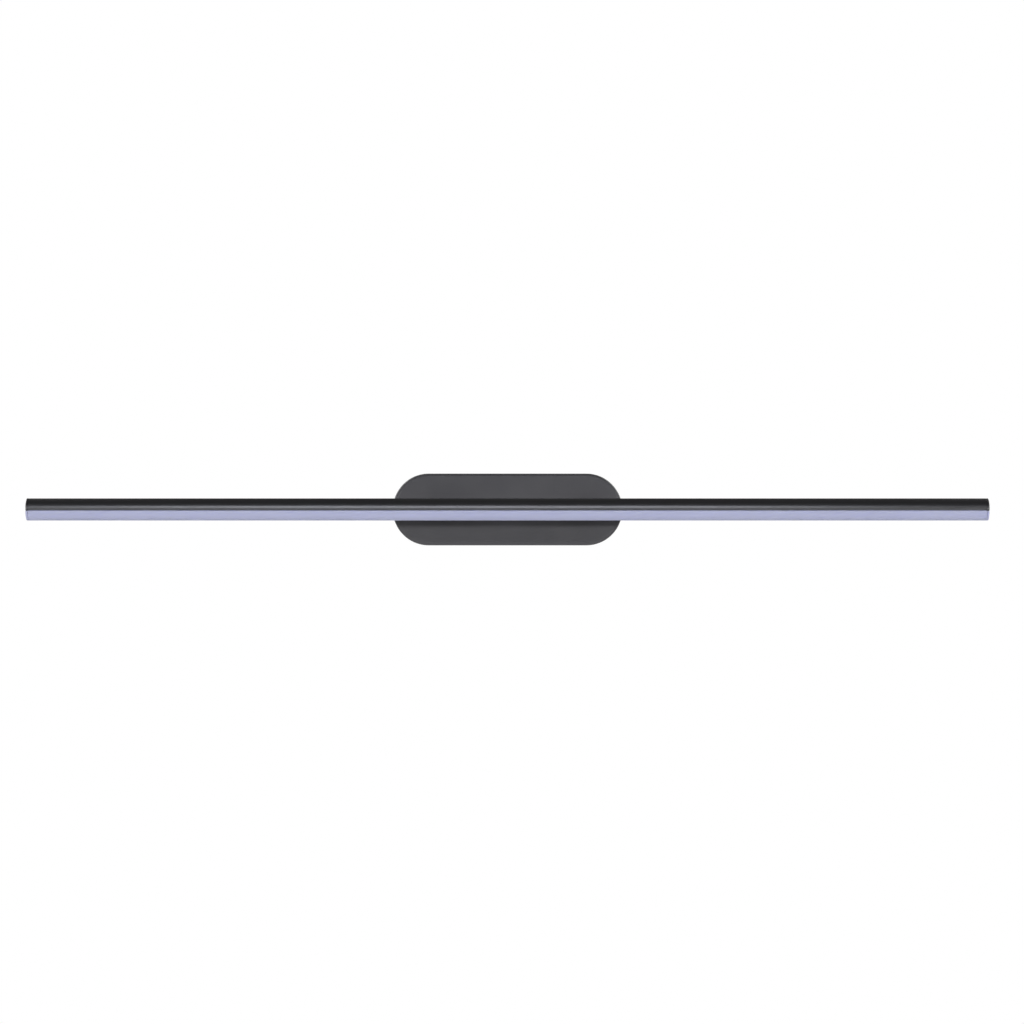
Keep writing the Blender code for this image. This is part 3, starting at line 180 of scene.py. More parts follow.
# ---------------------------------------------------------------- procedural materials
class Surface:
    """A Principled material; its grain, mottling and roughness are noise in object space."""

    def __init__(self, name, roughness, metallic=0.0, specular=0.5):
        self.material = bpy.data.materials.new(name)
        self.material.use_nodes = True
        self.nodes = self.material.node_tree.nodes
        self.links = self.material.node_tree.links
        self.shader = self.nodes["Principled BSDF"]
        self.shader.inputs["Roughness"].default_value = roughness
        self.shader.inputs["Metallic"].default_value = metallic
        self.shader.inputs["Specular IOR Level"].default_value = specular
        self.coordinates = self.nodes.new("ShaderNodeTexCoord")

    def noise(self, scale, detail, stretch=(1.0, 1.0, 1.0)):
        mapping = self.nodes.new("ShaderNodeMapping")
        mapping.inputs["Scale"].default_value = stretch
        self.links.new(self.coordinates.outputs["Object"], mapping.inputs["Vector"])
        noise = self.nodes.new("ShaderNodeTexNoise")
        noise.inputs["Scale"].default_value = scale
        noise.inputs["Detail"].default_value = detail
        self.links.new(mapping.outputs["Vector"], noise.inputs["Vector"])
        return noise.outputs["Fac"]

    def ramp(self, factor, stops):
        ramp = self.nodes.new("ShaderNodeValToRGB")
        elements = ramp.color_ramp.elements
        while len(elements) < len(stops):
            elements.new(0.5)
        for element, (position, colour) in zip(elements, stops):
            element.position = position
            element.color = (*colour, 1.0)
        self.links.new(factor, ramp.inputs["Fac"])
        return ramp.outputs["Color"]

    def colours(self, factor, dark, light, low=0.35, high=0.65):
        colour = self.ramp(factor, ((low, dark), (high, light)))
        self.links.new(colour, self.shader.inputs["Base Color"])

    def roughness(self, factor, low, high):
        spread = self.nodes.new("ShaderNodeMapRange")
        spread.inputs["From Min"].default_value = NOISE_LOW
        spread.inputs["From Max"].default_value = NOISE_HIGH
        spread.inputs["To Min"].default_value = low
        spread.inputs["To Max"].default_value = high
        self.links.new(factor, spread.inputs["Value"])
        self.links.new(spread.outputs["Result"], self.shader.inputs["Roughness"])

    def bump(self, height, depth, strength):
        bump = self.nodes.new("ShaderNodeBump")
        bump.inputs["Distance"].default_value = depth
        bump.inputs["Strength"].default_value = strength
        self.links.new(height, bump.inputs["Height"])
        self.links.new(bump.outputs["Normal"], self.shader.inputs["Normal"])


def powder_coat():
    """Satin black powder coat: fine orange peel, slightly uneven sheen."""
    surface = Surface("powder_coat_black", roughness=0.50, metallic=0.0, specular=0.5)
    peel = surface.noise(scale=1400.0, detail=3.0)
    cloud = surface.noise(scale=22.0, detail=2.0)
    surface.colours(cloud, (0.068, 0.067, 0.073), (0.079, 0.078, 0.084))
    surface.roughness(peel, low=0.44, high=0.58)
    surface.bump(peel, depth=0.00004, strength=0.35)
    return surface.material


def anodised_black():
    """Black anodised extrusion: fine drawing lines along the bar under a satin skin."""
    surface = Surface("anodised_black", roughness=0.30, metallic=0.0, specular=1.0)
    drawn = surface.noise(scale=2400.0, detail=2.0, stretch=(0.02, 1.0, 1.0))
    cloud = surface.noise(scale=9.0, detail=2.0)
    surface.colours(cloud, (0.0032, 0.0030, 0.0046), (0.0052, 0.0049, 0.0068))
    surface.roughness(drawn, low=0.28, high=0.35)
    surface.shader.inputs["IOR"].default_value = 1.8
    surface.bump(drawn, depth=0.00002, strength=0.15)
    return surface.material


def machined_black():
    """Black anodised turned pieces: fine rings of the tool marks read as a soft grain."""
    surface = Surface("machined_black", roughness=0.38, metallic=0.30, specular=0.5)
    turned_grain = surface.noise(scale=1800.0, detail=2.0, stretch=(1.0, 0.15, 0.15))
    cloud = surface.noise(scale=60.0, detail=2.0)
    surface.colours(cloud, (0.016, 0.016, 0.019), (0.024, 0.023, 0.027))
    surface.roughness(turned_grain, low=0.32, high=0.46)
    surface.bump(turned_grain, depth=0.00003, strength=0.3)
    return surface.material


def opal_plastic():
    """Frosted opal lens: soft lavender-white body with a fine matt texture."""
    surface = Surface("opal_plastic", roughness=0.55, metallic=0.0, specular=0.35)
    frost = surface.noise(scale=2600.0, detail=2.0)
    cloud = surface.noise(scale=14.0, detail=2.0, stretch=(0.4, 1.0, 1.0))
    surface.colours(cloud, (0.475, 0.495, 0.715), (0.500, 0.520, 0.745))
    surface.roughness(frost, low=0.48, high=0.62)
    surface.bump(frost, depth=0.00002, strength=0.25)
    surface.shader.inputs["Subsurface Weight"].default_value = 0.5
    surface.shader.inputs["Subsurface Radius"].default_value = (0.004, 0.004, 0.005)
    surface.shader.inputs["Subsurface Scale"].default_value = 1.0
    return surface.material


def zinc_plate():
    """Zinc-plated sheet: spangled tone, bright metal, faint scratches along X."""
    surface = Surface("zinc_plate", roughness=0.34, metallic=1.0, specular=0.5)
    spangle = surface.nodes.new("ShaderNodeTexVoronoi")
    spangle.inputs["Scale"].default_value = 260.0
    surface.links.new(surface.coordinates.outputs["Object"], spangle.inputs["Vector"])
    scratches = surface.noise(scale=1500.0, detail=3.0, stretch=(0.08, 1.0, 1.0))
    grey, light = (0.50, 0.51, 0.52), (0.66, 0.66, 0.63)
    surface.colours(spangle.outputs["Distance"], grey, light, low=0.1, high=0.7)
    surface.roughness(scratches, low=0.30, high=0.42)
    surface.bump(scratches, depth=0.00002, strength=0.3)
    return surface.material


def turned_brass():
    """Turned brass, tarnished in patches."""
    surface = Surface("turned_brass", roughness=0.28, metallic=1.0, specular=0.5)
    tarnish = surface.noise(scale=180.0, detail=4.0)
    surface.colours(tarnish, (0.58, 0.40, 0.17), (0.78, 0.60, 0.28))
    surface.roughness(tarnish, low=0.20, high=0.40)
    surface.bump(tarnish, depth=0.00002, strength=0.2)
    return surface.material


def aluminium_can():
    """Drawn aluminium of the capacitor's can."""
    surface = Surface("aluminium_can", roughness=0.30, metallic=1.0, specular=0.5)
    drawn = surface.noise(scale=1200.0, detail=3.0, stretch=(0.05, 1.0, 1.0))
    surface.colours(drawn, (0.56, 0.57, 0.59), (0.72, 0.72, 0.73))
    surface.roughness(drawn, low=0.22, high=0.38)
    surface.bump(drawn, depth=0.00002, strength=0.2)
    return surface.material


def moulded_plastic(name, dark, light, roughness=0.45):
    """Spark-eroded moulded plastic."""
    surface = Surface(name, roughness, metallic=0.0, specular=0.5)
    spark = surface.noise(scale=2200.0, detail=3.0)
    cloud = surface.noise(scale=40.0, detail=2.0)
    surface.colours(cloud, dark, light)
    surface.roughness(spark, roughness - 0.07, roughness + 0.10)
    surface.bump(spark, depth=0.00003, strength=0.4)
    return surface.material


def circuit_board(name, mask_dark, mask_light):
    """Solder mask over copper, whose tracks show as a slightly lighter weave of rectangles."""
    surface = Surface(name, roughness=0.35, metallic=0.0, specular=0.5)
    tracks = surface.nodes.new("ShaderNodeTexBrick")
    tracks.inputs["Scale"].default_value = 90.0
    tracks.inputs["Mortar Size"].default_value = 0.03
    tracks.inputs["Color1"].default_value = (*mask_light, 1.0)
    tracks.inputs["Color2"].default_value = (*(0.93 * channel for channel in mask_light), 1.0)
    tracks.inputs["Mortar"].default_value = (*mask_dark, 1.0)
    turn_to_face = surface.nodes.new("ShaderNodeMapping")
    turn_to_face.inputs["Rotation"].default_value = (math.radians(90), 0.0, 0.0)
    surface.links.new(surface.coordinates.outputs["Object"], turn_to_face.inputs["Vector"])
    surface.links.new(turn_to_face.outputs["Vector"], tracks.inputs["Vector"])
    surface.links.new(tracks.outputs["Color"], surface.shader.inputs["Base Color"])
    weave = surface.noise(scale=1600.0, detail=2.0)
    surface.roughness(weave, low=0.28, high=0.42)
    surface.bump(tracks.outputs["Fac"], depth=0.00003, strength=0.4)
    return surface.material


def wire_sleeve(name, dark, light):
    """Smooth insulation of a lead."""
    surface = Surface(name, roughness=0.42, metallic=0.0, specular=0.5)
    grain = surface.noise(scale=1500.0, detail=2.0)
    surface.colours(grain, dark, light)
    surface.roughness(grain, low=0.36, high=0.50)
    surface.bump(grain, depth=0.00002, strength=0.3)
    return surface.material


def earth_sleeve():
    """Green insulation with a yellow stripe."""
    surface = Surface("wire_green_yellow", roughness=0.42, metallic=0.0, specular=0.5)
    stripe = surface.nodes.new("ShaderNodeTexWave")
    stripe.inputs["Scale"].default_value = 260.0
    stripe.inputs["Distortion"].default_value = 0.0
    surface.links.new(surface.coordinates.outputs["Object"], stripe.inputs["Vector"])
    green, yellow = (0.06, 0.30, 0.05), (0.62, 0.55, 0.05)
    surface.colours(stripe.outputs["Fac"], green, yellow, low=0.45, high=0.55)
    grain = surface.noise(scale=1500.0, detail=2.0)
    surface.roughness(grain, low=0.36, high=0.50)
    surface.bump(grain, depth=0.00002, strength=0.3)
    return surface.material


POWDER = powder_coat()
ANODISED = anodised_black()
MACHINED = machined_black()
OPAL = opal_plastic()
ZINC = zinc_plate()
BRASS = turned_brass()
RUBBER = moulded_plastic("rubber_black", (0.014, 0.014, 0.014), (0.022, 0.022, 0.021), 0.75)
NYLON = moulded_plastic("nylon_white", (0.68, 0.68, 0.63), (0.78, 0.78, 0.74))
FERRITE = moulded_plastic("ferrite_core", (0.030, 0.030, 0.034), (0.060, 0.060, 0.064), 0.6)

slot_finishes = {
    "canopy_black": POWDER,
    "bar_black": ANODISED,
    "opal_diffuser": OPAL,
    "zinc_steel": ZINC,
    "capacitor_can": aluminium_can(),
    "brass": BRASS,
    "nylon_white": NYLON,
    "board_white": circuit_board("board_white", (0.62, 0.63, 0.60), (0.80, 0.81, 0.78)),
    "board_green": circuit_board("board_green", (0.015, 0.10, 0.035), (0.035, 0.19, 0.07)),
    "transformer_core": FERRITE,
    "rubber_black": RUBBER,
    "wire_brown": wire_sleeve("wire_brown", (0.13, 0.045, 0.02), (0.19, 0.075, 0.035)),
    "wire_blue": wire_sleeve("wire_blue", (0.02, 0.09, 0.36), (0.04, 0.14, 0.48)),
    "wire_green": earth_sleeve(),
    "wire_grey": wire_sleeve("wire_grey", (0.22, 0.22, 0.23), (0.32, 0.32, 0.33)),
}
node_slots = {entry["node"]: entry["material_slot"] for entry in frame["record"]["subparts"]}
node_bodies = {}
for body_name, members in frame["record"]["behaviour"]["bodies"].items():
    for member in members:
        node_bodies[member] = body_name
for node_name, node in frame["nodes"].items():
    node.data.materials.clear()
    node.data.materials.append(slot_finishes[node_slots[node_name]])


# ---------------------------------------------------------------- shape tools
def polar(radius, degrees):
    """The point (u, v) at a radius and an angle from u."""
    angle = math.radians(degrees)
    return (radius * math.cos(angle), radius * math.sin(angle))


def arc(radius, start, end, steps, centre=(0.0, 0.0)):
    points = []
    for step in range(steps + 1):
        u, v = polar(radius, start + (end - start) * step / steps)
        points.append((centre[0] + u, centre[1] + v))
    return points


def circle(radius, sides, centre=(0.0, 0.0)):
    return arc(radius, 0, 360, sides, centre)[:-1]


def hexagon(flats):
    return circle(flats / 2 / math.cos(math.radians(30)), 6)


def obround(half_length, radius, steps, centre=(0.0, 0.0)):
    straight = half_length - radius
    right = arc(radius, -90, 90, steps, (centre[0] + straight, centre[1]))
    return right + arc(radius, 90, 270, steps, (centre[0] - straight, centre[1]))


def eased(points, radius, closed=True, steps=4):
    """The corners of an outline rounded; neighbours closer than the radius shorten it."""
    made = []
    count = len(points)
    for number, corner in enumerate(points):
        if not closed and number in (0, count - 1):
            made.append(corner)
            continue
        before, after = points[number - 1], points[(number + 1) % count]
        to_before = Vector(before) - Vector(corner)
        to_after = Vector(after) - Vector(corner)
        straightness = to_before.normalized().dot(to_after.normalized())
        if straightness < STRAIGHT:
            made.append(corner)
            continue
        reach = min(radius, EASE_SHARE * to_before.length, EASE_SHARE * to_after.length)
        start = Vector(corner) + to_before.normalized() * reach
        end = Vector(corner) + to_after.normalized() * reach
        for step in range(steps + 1):
            t = step / steps
            point = start * (1 - t) ** 2 + Vector(corner) * 2 * t * (1 - t) + end * t**2
            made.append(tuple(point))
    return made


def point_on(axis, u, v, along):
    return {"X": (along, u, v), "Y": (u, along, v), "Z": (u, v, along)}[axis]


def bridge(bm, first, second):
    for step, start in enumerate(first):
        following = (step + 1) % len(first)
        bm.faces.new((start, first[following], second[following], second[step]))


def to_object(name, bm, matrix=None):
    bmesh.ops.recalc_face_normals(bm, faces=bm.faces)
    if bm.calc_volume(signed=True) < 0.0:
        bmesh.ops.reverse_faces(bm, faces=bm.faces)
    mesh = bpy.data.meshes.new(name)
    bm.to_mesh(mesh)
    bm.free()
    if matrix:
        mesh.transform(matrix)
    made = bpy.data.objects.new(name, mesh)
    bpy.context.scene.collection.objects.link(made)
    return made


def prism(name, outline, axis, start, end, matrix=None, edge=0.0):
    """An outline pushed along an axis; edge rounds the rims at both ends."""
    bm = bmesh.new()
    stations = [(start, 0.0), (end, 0.0)]
    if edge:
        direction = math.copysign(1.0, end - start)
        lead_in = []
        for step in range(EDGE_STEPS + 1):
            inset, rise = polar(edge, 90 * step / EDGE_STEPS)
            lead_in.append((edge - rise, edge - inset))
        stations = [(start + direction * along, inset) for along, inset in reversed(lead_in)]
        stations += [(end - direction * along, inset) for along, inset in lead_in]
        stations = sorted(set(stations), key=lambda station: direction * station[0])
    rings = []
    for along, inset in stations:
        ring_outline = inset_outline(outline, inset) if inset else outline
        rings.append([bm.verts.new(point_on(axis, u, v, along)) for u, v in ring_outline])
    for first, second in zip(rings, rings[1:]):
        bridge(bm, first, second)
    bm.faces.new(rings[0])
    bm.faces.new(rings[-1])
    return to_object(name, bm, matrix)


def signed_area(outline):
    total = 0.0
    for (u0, v0), (u1, v1) in zip(outline, outline[1:] + outline[:1]):
        total += u0 * v1 - u1 * v0
    return total / 2


def inset_outline(outline, distance):
    """Each point moved inwards along the mean of its two edges' normals."""
    turn_sign = math.copysign(1.0, signed_area(outline))
    made = []
    for number, point in enumerate(outline):
        before = Vector(outline[number - 1])
        after = Vector(outline[(number + 1) % len(outline)])
        tangent = (after - before).normalized()
        shift = turn_sign * distance
        made.append((point[0] - shift * tangent.y, point[1] + shift * tangent.x))
    return made


def turned(name, profile, axis, sides=ROUND, matrix=None):
    """A profile of (distance along, radius) turned about the axis; solid if it starts there."""
    bm = bmesh.new()
    rings = []
    for along, radius in profile:
        if radius > NO_RADIUS:
            ring = [point_on(axis, u, v, along) for u, v in circle(radius, sides)]
            rings.append([bm.verts.new(point) for point in ring])
    for first, second in zip(rings, rings[1:]):
        bridge(bm, first, second)
    if profile[0][1] <= NO_RADIUS:
        bm.faces.new(rings[0])
        bm.faces.new(rings[-1])
    else:
        bridge(bm, rings[-1], rings[0])
    return to_object(name, bm, matrix)


def cylinder(name, radius, axis, start, end, centre=(0.0, 0.0), sides=SMALL_ROUND, matrix=None):
    return prism(name, circle(radius, sides, centre), axis, start, end, matrix)


def combine(target, tools, operation):
    """An exact Boolean with each tool in turn; the tools are used up."""
    for tool in tools:
        modifier = target.modifiers.new(operation.lower(), "BOOLEAN")
        modifier.operation = operation
        modifier.solver = "EXACT"
        modifier.object = tool
    bpy.context.view_layer.update()
    evaluated = target.evaluated_get(bpy.context.evaluated_depsgraph_get())
    mesh = bpy.data.meshes.new_from_object(evaluated)
    target.modifiers.clear()
    bm = bmesh.new()
    bm.from_mesh(mesh)
    bmesh.ops.remove_doubles(bm, verts=bm.verts, dist=WELD)
    bm.to_mesh(mesh)
    bm.free()
    target.data = mesh
    for tool in tools:
        bpy.data.objects.remove(tool)
    return target


def cut(target, *tools):
    return combine(target, tools, "DIFFERENCE")


def fuse(target, *tools):
    return combine(target, tools, "UNION")


def dress(piece, finish, node, sharp=SHARP_ANGLE):
    """Finishes a piece that stands for a CAD node: shading, material and body; the CAD node is hidden."""
    piece.data.name = piece.name
    piece.data.materials.clear()
    piece.data.materials.append(finish)
    piece.data.shade_smooth()
    piece.data.set_sharp_from_angle(angle=math.radians(sharp))
    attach(piece, node_bodies[node])
    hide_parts(node)
    return piece


def socket_screw(name, shank, head, height, length, matrix, node, finish, countersunk=False):
    """Socket-head screw with a domed rim and a chamfered tip, modelled along Z and then placed."""
    if countersunk:
        top = [(height, 0.0), (height, head - HEAD_EDGE), (height - HEAD_EDGE, head)]
    else:
        rim = HEAD_DOME * height
        dome = []
        for angle in DOME_ANGLES:
            reach, rise = polar(rim, angle)
            dome.append((height - rim + rise, head - rim + reach))
        top = [(height, 0.0), *dome, (HEAD_EDGE, head), (0.0, head - HEAD_EDGE)]
    tip = [(-length + TIP_LENGTH, shank), (-length, shank - TIP_DEPTH), (-length, 0.0)]
    piece = turned(name, [*top, (0.0, shank), *tip], "Z", SMALL_ROUND)
    depth = (SOCKET_FLOOR * height, 2 * height)
    cut(piece, prism("socket", hexagon(SOCKET_FLATS * head), "Z", *depth))
    piece.data.transform(matrix)
    return dress(piece, finish, node)


# ---------------------------------------------------------------- camera, lights, floor
CAMERA_LENS = 110.0
CAMERA_SENSOR = 36.0
CAMERA_CLIP_END = 60.0
FRAME_WIDTH = 1.0655  # metres across the picture at the bar
CAMERA_OFFSET = Vector((0.0047, 0.0, -0.00265))
FLOOR_HEIGHT = -1.15
FLOOR_THICKNESS = 0.02
FLOOR_RADIUS = 2.6
FLOOR_SIDES = 128
FADE_START = 0.35  # of the floor's radius
FLOOR_GLOW = 0.06  # in the middle, rising to 1 at the edge
WORLD_LIGHT = 0.07  # what the white surroundings give to the object
WHITE = (1.0, 1.0, 1.0)
KEY_TINT = (0.88, 0.90, 1.0)
WASH_TINT = (0.90, 0.93, 1.0)
FILL_TINT = (0.97, 0.98, 1.0)


def aim(thing, target):
    thing.rotation_euler = (target - thing.location).to_track_quat("-Z", "Y").to_euler()


def make_camera():
    """Level and square to the wall, far enough to take in the whole bar."""
    data = bpy.data.cameras.new("camera")
    data.lens = CAMERA_LENS
    data.sensor_width = CAMERA_SENSOR
    data.clip_end = CAMERA_CLIP_END
    camera = bpy.data.objects.new("camera", data)
    distance = FRAME_WIDTH * CAMERA_LENS / CAMERA_SENSOR
    camera.location = bar_centre + CAMERA_OFFSET + Vector((0.0, -distance, 0.0))
    camera.rotation_euler = (math.radians(90), 0.0, 0.0)
    bpy.context.scene.collection.objects.link(camera)
    bpy.context.scene.camera = camera


def softbox(name, angles, distance, size, power, tint=WHITE, offset=0.0):
    """A rectangular light aimed at the bar; angles are (elevation, azimuth) in degrees."""
    data = bpy.data.lights.new(name, "AREA")
    data.shape = "RECTANGLE"
    data.size, data.size_y = size
    data.energy = power
    data.color = tint
    light = bpy.data.objects.new(name, data)
    rise, turn = (math.radians(angle) for angle in angles)
    target = bar_centre + Vector((offset, 0.0, 0.0))
    across = math.cos(rise)
    reach = Vector((math.sin(turn) * across, -math.cos(turn) * across, math.sin(rise)))
    light.location = target + distance * reach
    aim(light, target)
    bpy.context.scene.collection.objects.link(light)


def make_floor():
    """A round pale floor that fades into the white background at its edge."""
    rim = circle(FLOOR_RADIUS, FLOOR_SIDES)
    floor = prism("floor", rim, "Z", FLOOR_HEIGHT - FLOOR_THICKNESS, FLOOR_HEIGHT)
    pale = Surface("pale_floor", roughness=0.85, metallic=0.0, specular=0.2)
    speckle = pale.noise(scale=60.0, detail=4.0)
    pale.colours(speckle, (0.90, 0.90, 0.90), (0.93, 0.93, 0.93))
    distance = pale.nodes.new("ShaderNodeVectorMath")
    distance.operation = "LENGTH"
    pale.links.new(pale.coordinates.outputs["Object"], distance.inputs[0])
    fade = pale.nodes.new("ShaderNodeMapRange")
    fade.interpolation_type = "SMOOTHSTEP"
    fade.inputs["From Min"].default_value = FADE_START * FLOOR_RADIUS
    fade.inputs["From Max"].default_value = FLOOR_RADIUS
    fade.inputs["To Min"].default_value = FLOOR_GLOW
    fade.inputs["To Max"].default_value = 1.0
    pale.links.new(distance.outputs["Value"], fade.inputs["Value"])
    seen = pale.nodes.new("ShaderNodeLightPath")
    glow = pale.nodes.new("ShaderNodeMath")
    glow.operation = "MULTIPLY"
    pale.links.new(seen.outputs["Is Camera Ray"], glow.inputs[0])
    pale.links.new(fade.outputs["Result"], glow.inputs[1])
    pale.shader.inputs["Emission Color"].default_value = (*WHITE, 1.0)
    pale.links.new(glow.outputs["Value"], pale.shader.inputs["Emission Strength"])
    floor.data.materials.append(pale.material)


def make_world():
    """White to the camera, dim to the object."""
    world = bpy.data.worlds.new("studio")
    world.use_nodes = True
    nodes, links = world.node_tree.nodes, world.node_tree.links
    background = nodes["Background"]
    background.inputs["Color"].default_value = (*WHITE, 1.0)
    rays = nodes.new("ShaderNodeLightPath")
    spread = nodes.new("ShaderNodeMapRange")
    spread.inputs["To Min"].default_value = WORLD_LIGHT
    spread.inputs["To Max"].default_value = 1.0
    links.new(rays.outputs["Is Camera Ray"], spread.inputs["Value"])
    links.new(spread.outputs["Result"], background.inputs["Strength"])
    bpy.context.scene.world = world


make_camera()
make_floor()
make_world()
softbox("key_strip", (26.0, 0.0), 1.7, size=(1.16, 0.36), power=4.65, tint=KEY_TINT, offset=-0.10)
softbox("front_wash", (6.0, 0.0), 3.4, size=(2.40, 0.50), power=2.2, tint=WASH_TINT)
softbox("front_left", (4.4, -46.0), 3.2, size=(1.00, 0.18), power=34.0)
softbox("front_right", (4.4, 46.0), 3.2, size=(1.00, 0.18), power=34.0)
softbox("back_left", (28.0, -128.0), 3.0, size=(1.80, 1.60), power=42.0)
softbox("back_right", (28.0, 128.0), 3.0, size=(1.80, 1.60), power=42.0)
softbox("low_fill", (-24.0, 0.0), 2.9, size=(2.60, 1.80), power=10.0, tint=FILL_TINT)
scene = bpy.context.scene
scene.view_settings.view_transform = "Standard"
scene.view_settings.look = "None"


# ---------------------------------------------------------------- canopy
def canopy_rings(inset, wall_y, face_y):
    """Rings of the pan from its open back to its face: (inset from the outline, y)."""
    fillet = CANOPY_RIM - inset
    rings = [(inset, wall_y)]
    for step in range(RIM_STEPS + 1):
        reach, rise = polar(fillet, 90 * step / RIM_STEPS)
        rings.append((inset + fillet - reach, face_y + fillet - rise))
    return rings


def make_canopy():
    """The pressed pan with its rolled rim, arm holes and screw holes."""
    bm = bmesh.new()
    shells = []
    for inset, face_y in ((0.0, canopy_face), (CANOPY_WALL, canopy_face + CANOPY_WALL)):
        rings = canopy_rings(inset, canopy_back, face_y)
        eased_lip = inset + CANOPY_LIP if inset == 0.0 else inset - CANOPY_LIP
        rings = [(eased_lip, canopy_back), (inset, canopy_back - CANOPY_LIP), *rings[1:]]
        loops = []
        for step_in, y in rings:
            outline = obround(canopy_half - step_in, canopy_radius - step_in, CANOPY_END_STEPS)
            loops.append([bm.verts.new((x, y, z)) for x, z in outline])
        for first, second in zip(loops, loops[1:]):
            bridge(bm, first, second)
        bm.faces.new(loops[-1])
        shells.append(loops)
    bridge(bm, shells[0][0], shells[1][0])
    canopy = to_object("canopy_shell", bm)
    tools = []
    screw_low, screw_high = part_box("canopy_screw_right")
    height = ((screw_low.y + screw_high.y) / 2, 0.0)
    for side in SIDES.values():
        spot = (side * arm_x, 0.0)
        reach = (2 * canopy_face, canopy_face / 2)
        tools.append(cylinder("arm_hole", SPIGOT_RADIUS + GAP, "Y", *reach, spot))
        reach = sorted((side * (canopy_half - 2 * CANOPY_WALL), side * 2 * canopy_half))
        tools.append(cylinder("end_hole", M4_HOLE, "X", *reach, height))
    cut(canopy, *tools)
    dress(canopy, POWDER, "canopy")


def make_canopy_screws():
    for side_name, side in SIDES.items():
        node = f"canopy_screw_{side_name}"
        low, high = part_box(node)
        seat = side * (canopy_half + GAP)
        length = (high.x - low.x) - M4_HEAD_HEIGHT
        matrix = Matrix.Translation((seat, (low.y + high.y) / 2, 0.0))
        matrix = matrix @ Matrix.Rotation(side * math.pi / 2, 4, "Y")
        head = (M4_HEAD, M4_HEAD_HEIGHT)
        socket_screw(f"{node}_fine", M4_SHANK, *head, length, matrix, node, POWDER)


# ---------------------------------------------------------------- arms and knuckles
def make_arm(side_name, side):
    """Hollow arm with eased edges and a fillet where the post meets the flange."""
    node = f"arm_{side_name}"
    face = canopy_face - GAP
    under = face - FLANGE_THICKNESS
    spigot_end = arm_high.y
    corners = [(spigot_end, 0.0), (spigot_end, SPIGOT_RADIUS), (face, SPIGOT_RADIUS)]
    corners += [(face, FLANGE_RADIUS), (under, FLANGE_RADIUS)]
    profile = eased(corners, ARM_EDGE, closed=False)[:-1]
    profile += [(under + ARM_EDGE, FLANGE_RADIUS)]
    profile += [(under + FLANGE_STEP, FLANGE_RADIUS - FLANGE_STEP)]
    profile += [(under, FLANGE_RADIUS - ARM_EDGE)]
    for step in range(BLEND_STEPS + 1):
        reach, rise = polar(ARM_BLEND, 90 * step / BLEND_STEPS)
        profile.append((under - ARM_BLEND + reach, POST_RADIUS + ARM_BLEND - rise))
    profile += [(pivot.y, POST_RADIUS), (pivot.y, 0.0)]
    arm = turned(f"{node}_fine", profile, "Y")
    inner = -side * (arm_x - arm_low.x)
    outer = side * (arm_high.x - arm_x)
    corners = [(inner, 0.0), (inner, barrel_radius), (outer, barrel_radius), (outer, 0.0)]
    barrel = eased(corners, BARREL_EDGE, closed=False)
    fuse(arm, turned("barrel", barrel, "X", ROUND, Matrix.Translation((0.0, pivot.y, 0.0))))
    cavity = sorted((inner + side * BARREL_END_WALL, 2 * outer))
    hole = sorted((2 * inner, 0.0))
    centre = (pivot.y, 0.0)
    cut(
        arm,
        cylinder("cavity", cavity_radius, "X", *cavity, centre, CAVITY_SIDES),
        cylinder("axle_hole", TRUNNION_RADIUS + GAP, "X", *hole, centre, AXLE_SIDES),
        cylinder("wire_bore", WIRE_BORE_RADIUS, "Y", pivot.y + cavity_radius / 2, 0.0),
    )
    arm.data.transform(Matrix.Translation((side * arm_x, 0.0, 0.0)))
    dress(arm, POWDER, node)


def make_knuckle_cap(side_name, side):
    """The plug that closes the barrel's outer end, with a shallow dish in its face."""
    node = f"knuckle_cap_{side_name}"
    plate = side * (arm_high.x + GAP)
    outer = side * knuckle_high.x
    inner = side * knuckle_low.x
    spigot = cavity_radius - GAP
    dish = outer - side * DISH_DEPTH
    corners = [(inner, 0.0), (inner, spigot), (plate, spigot), (plate, barrel_radius)]
    corners += [(outer, barrel_radius), (outer, DISH_RIM * barrel_radius)]
    corners += [(dish, DISH_FLOOR * barrel_radius), (dish, 0.0)]
    profile = eased(corners, KNUCKLE_CAP_EDGE, closed=False)
    cap = turned(f"{node}_fine", profile, "X", ROUND, Matrix.Translation((0.0, pivot.y, 0.0)))
    dress(cap, POWDER, node)


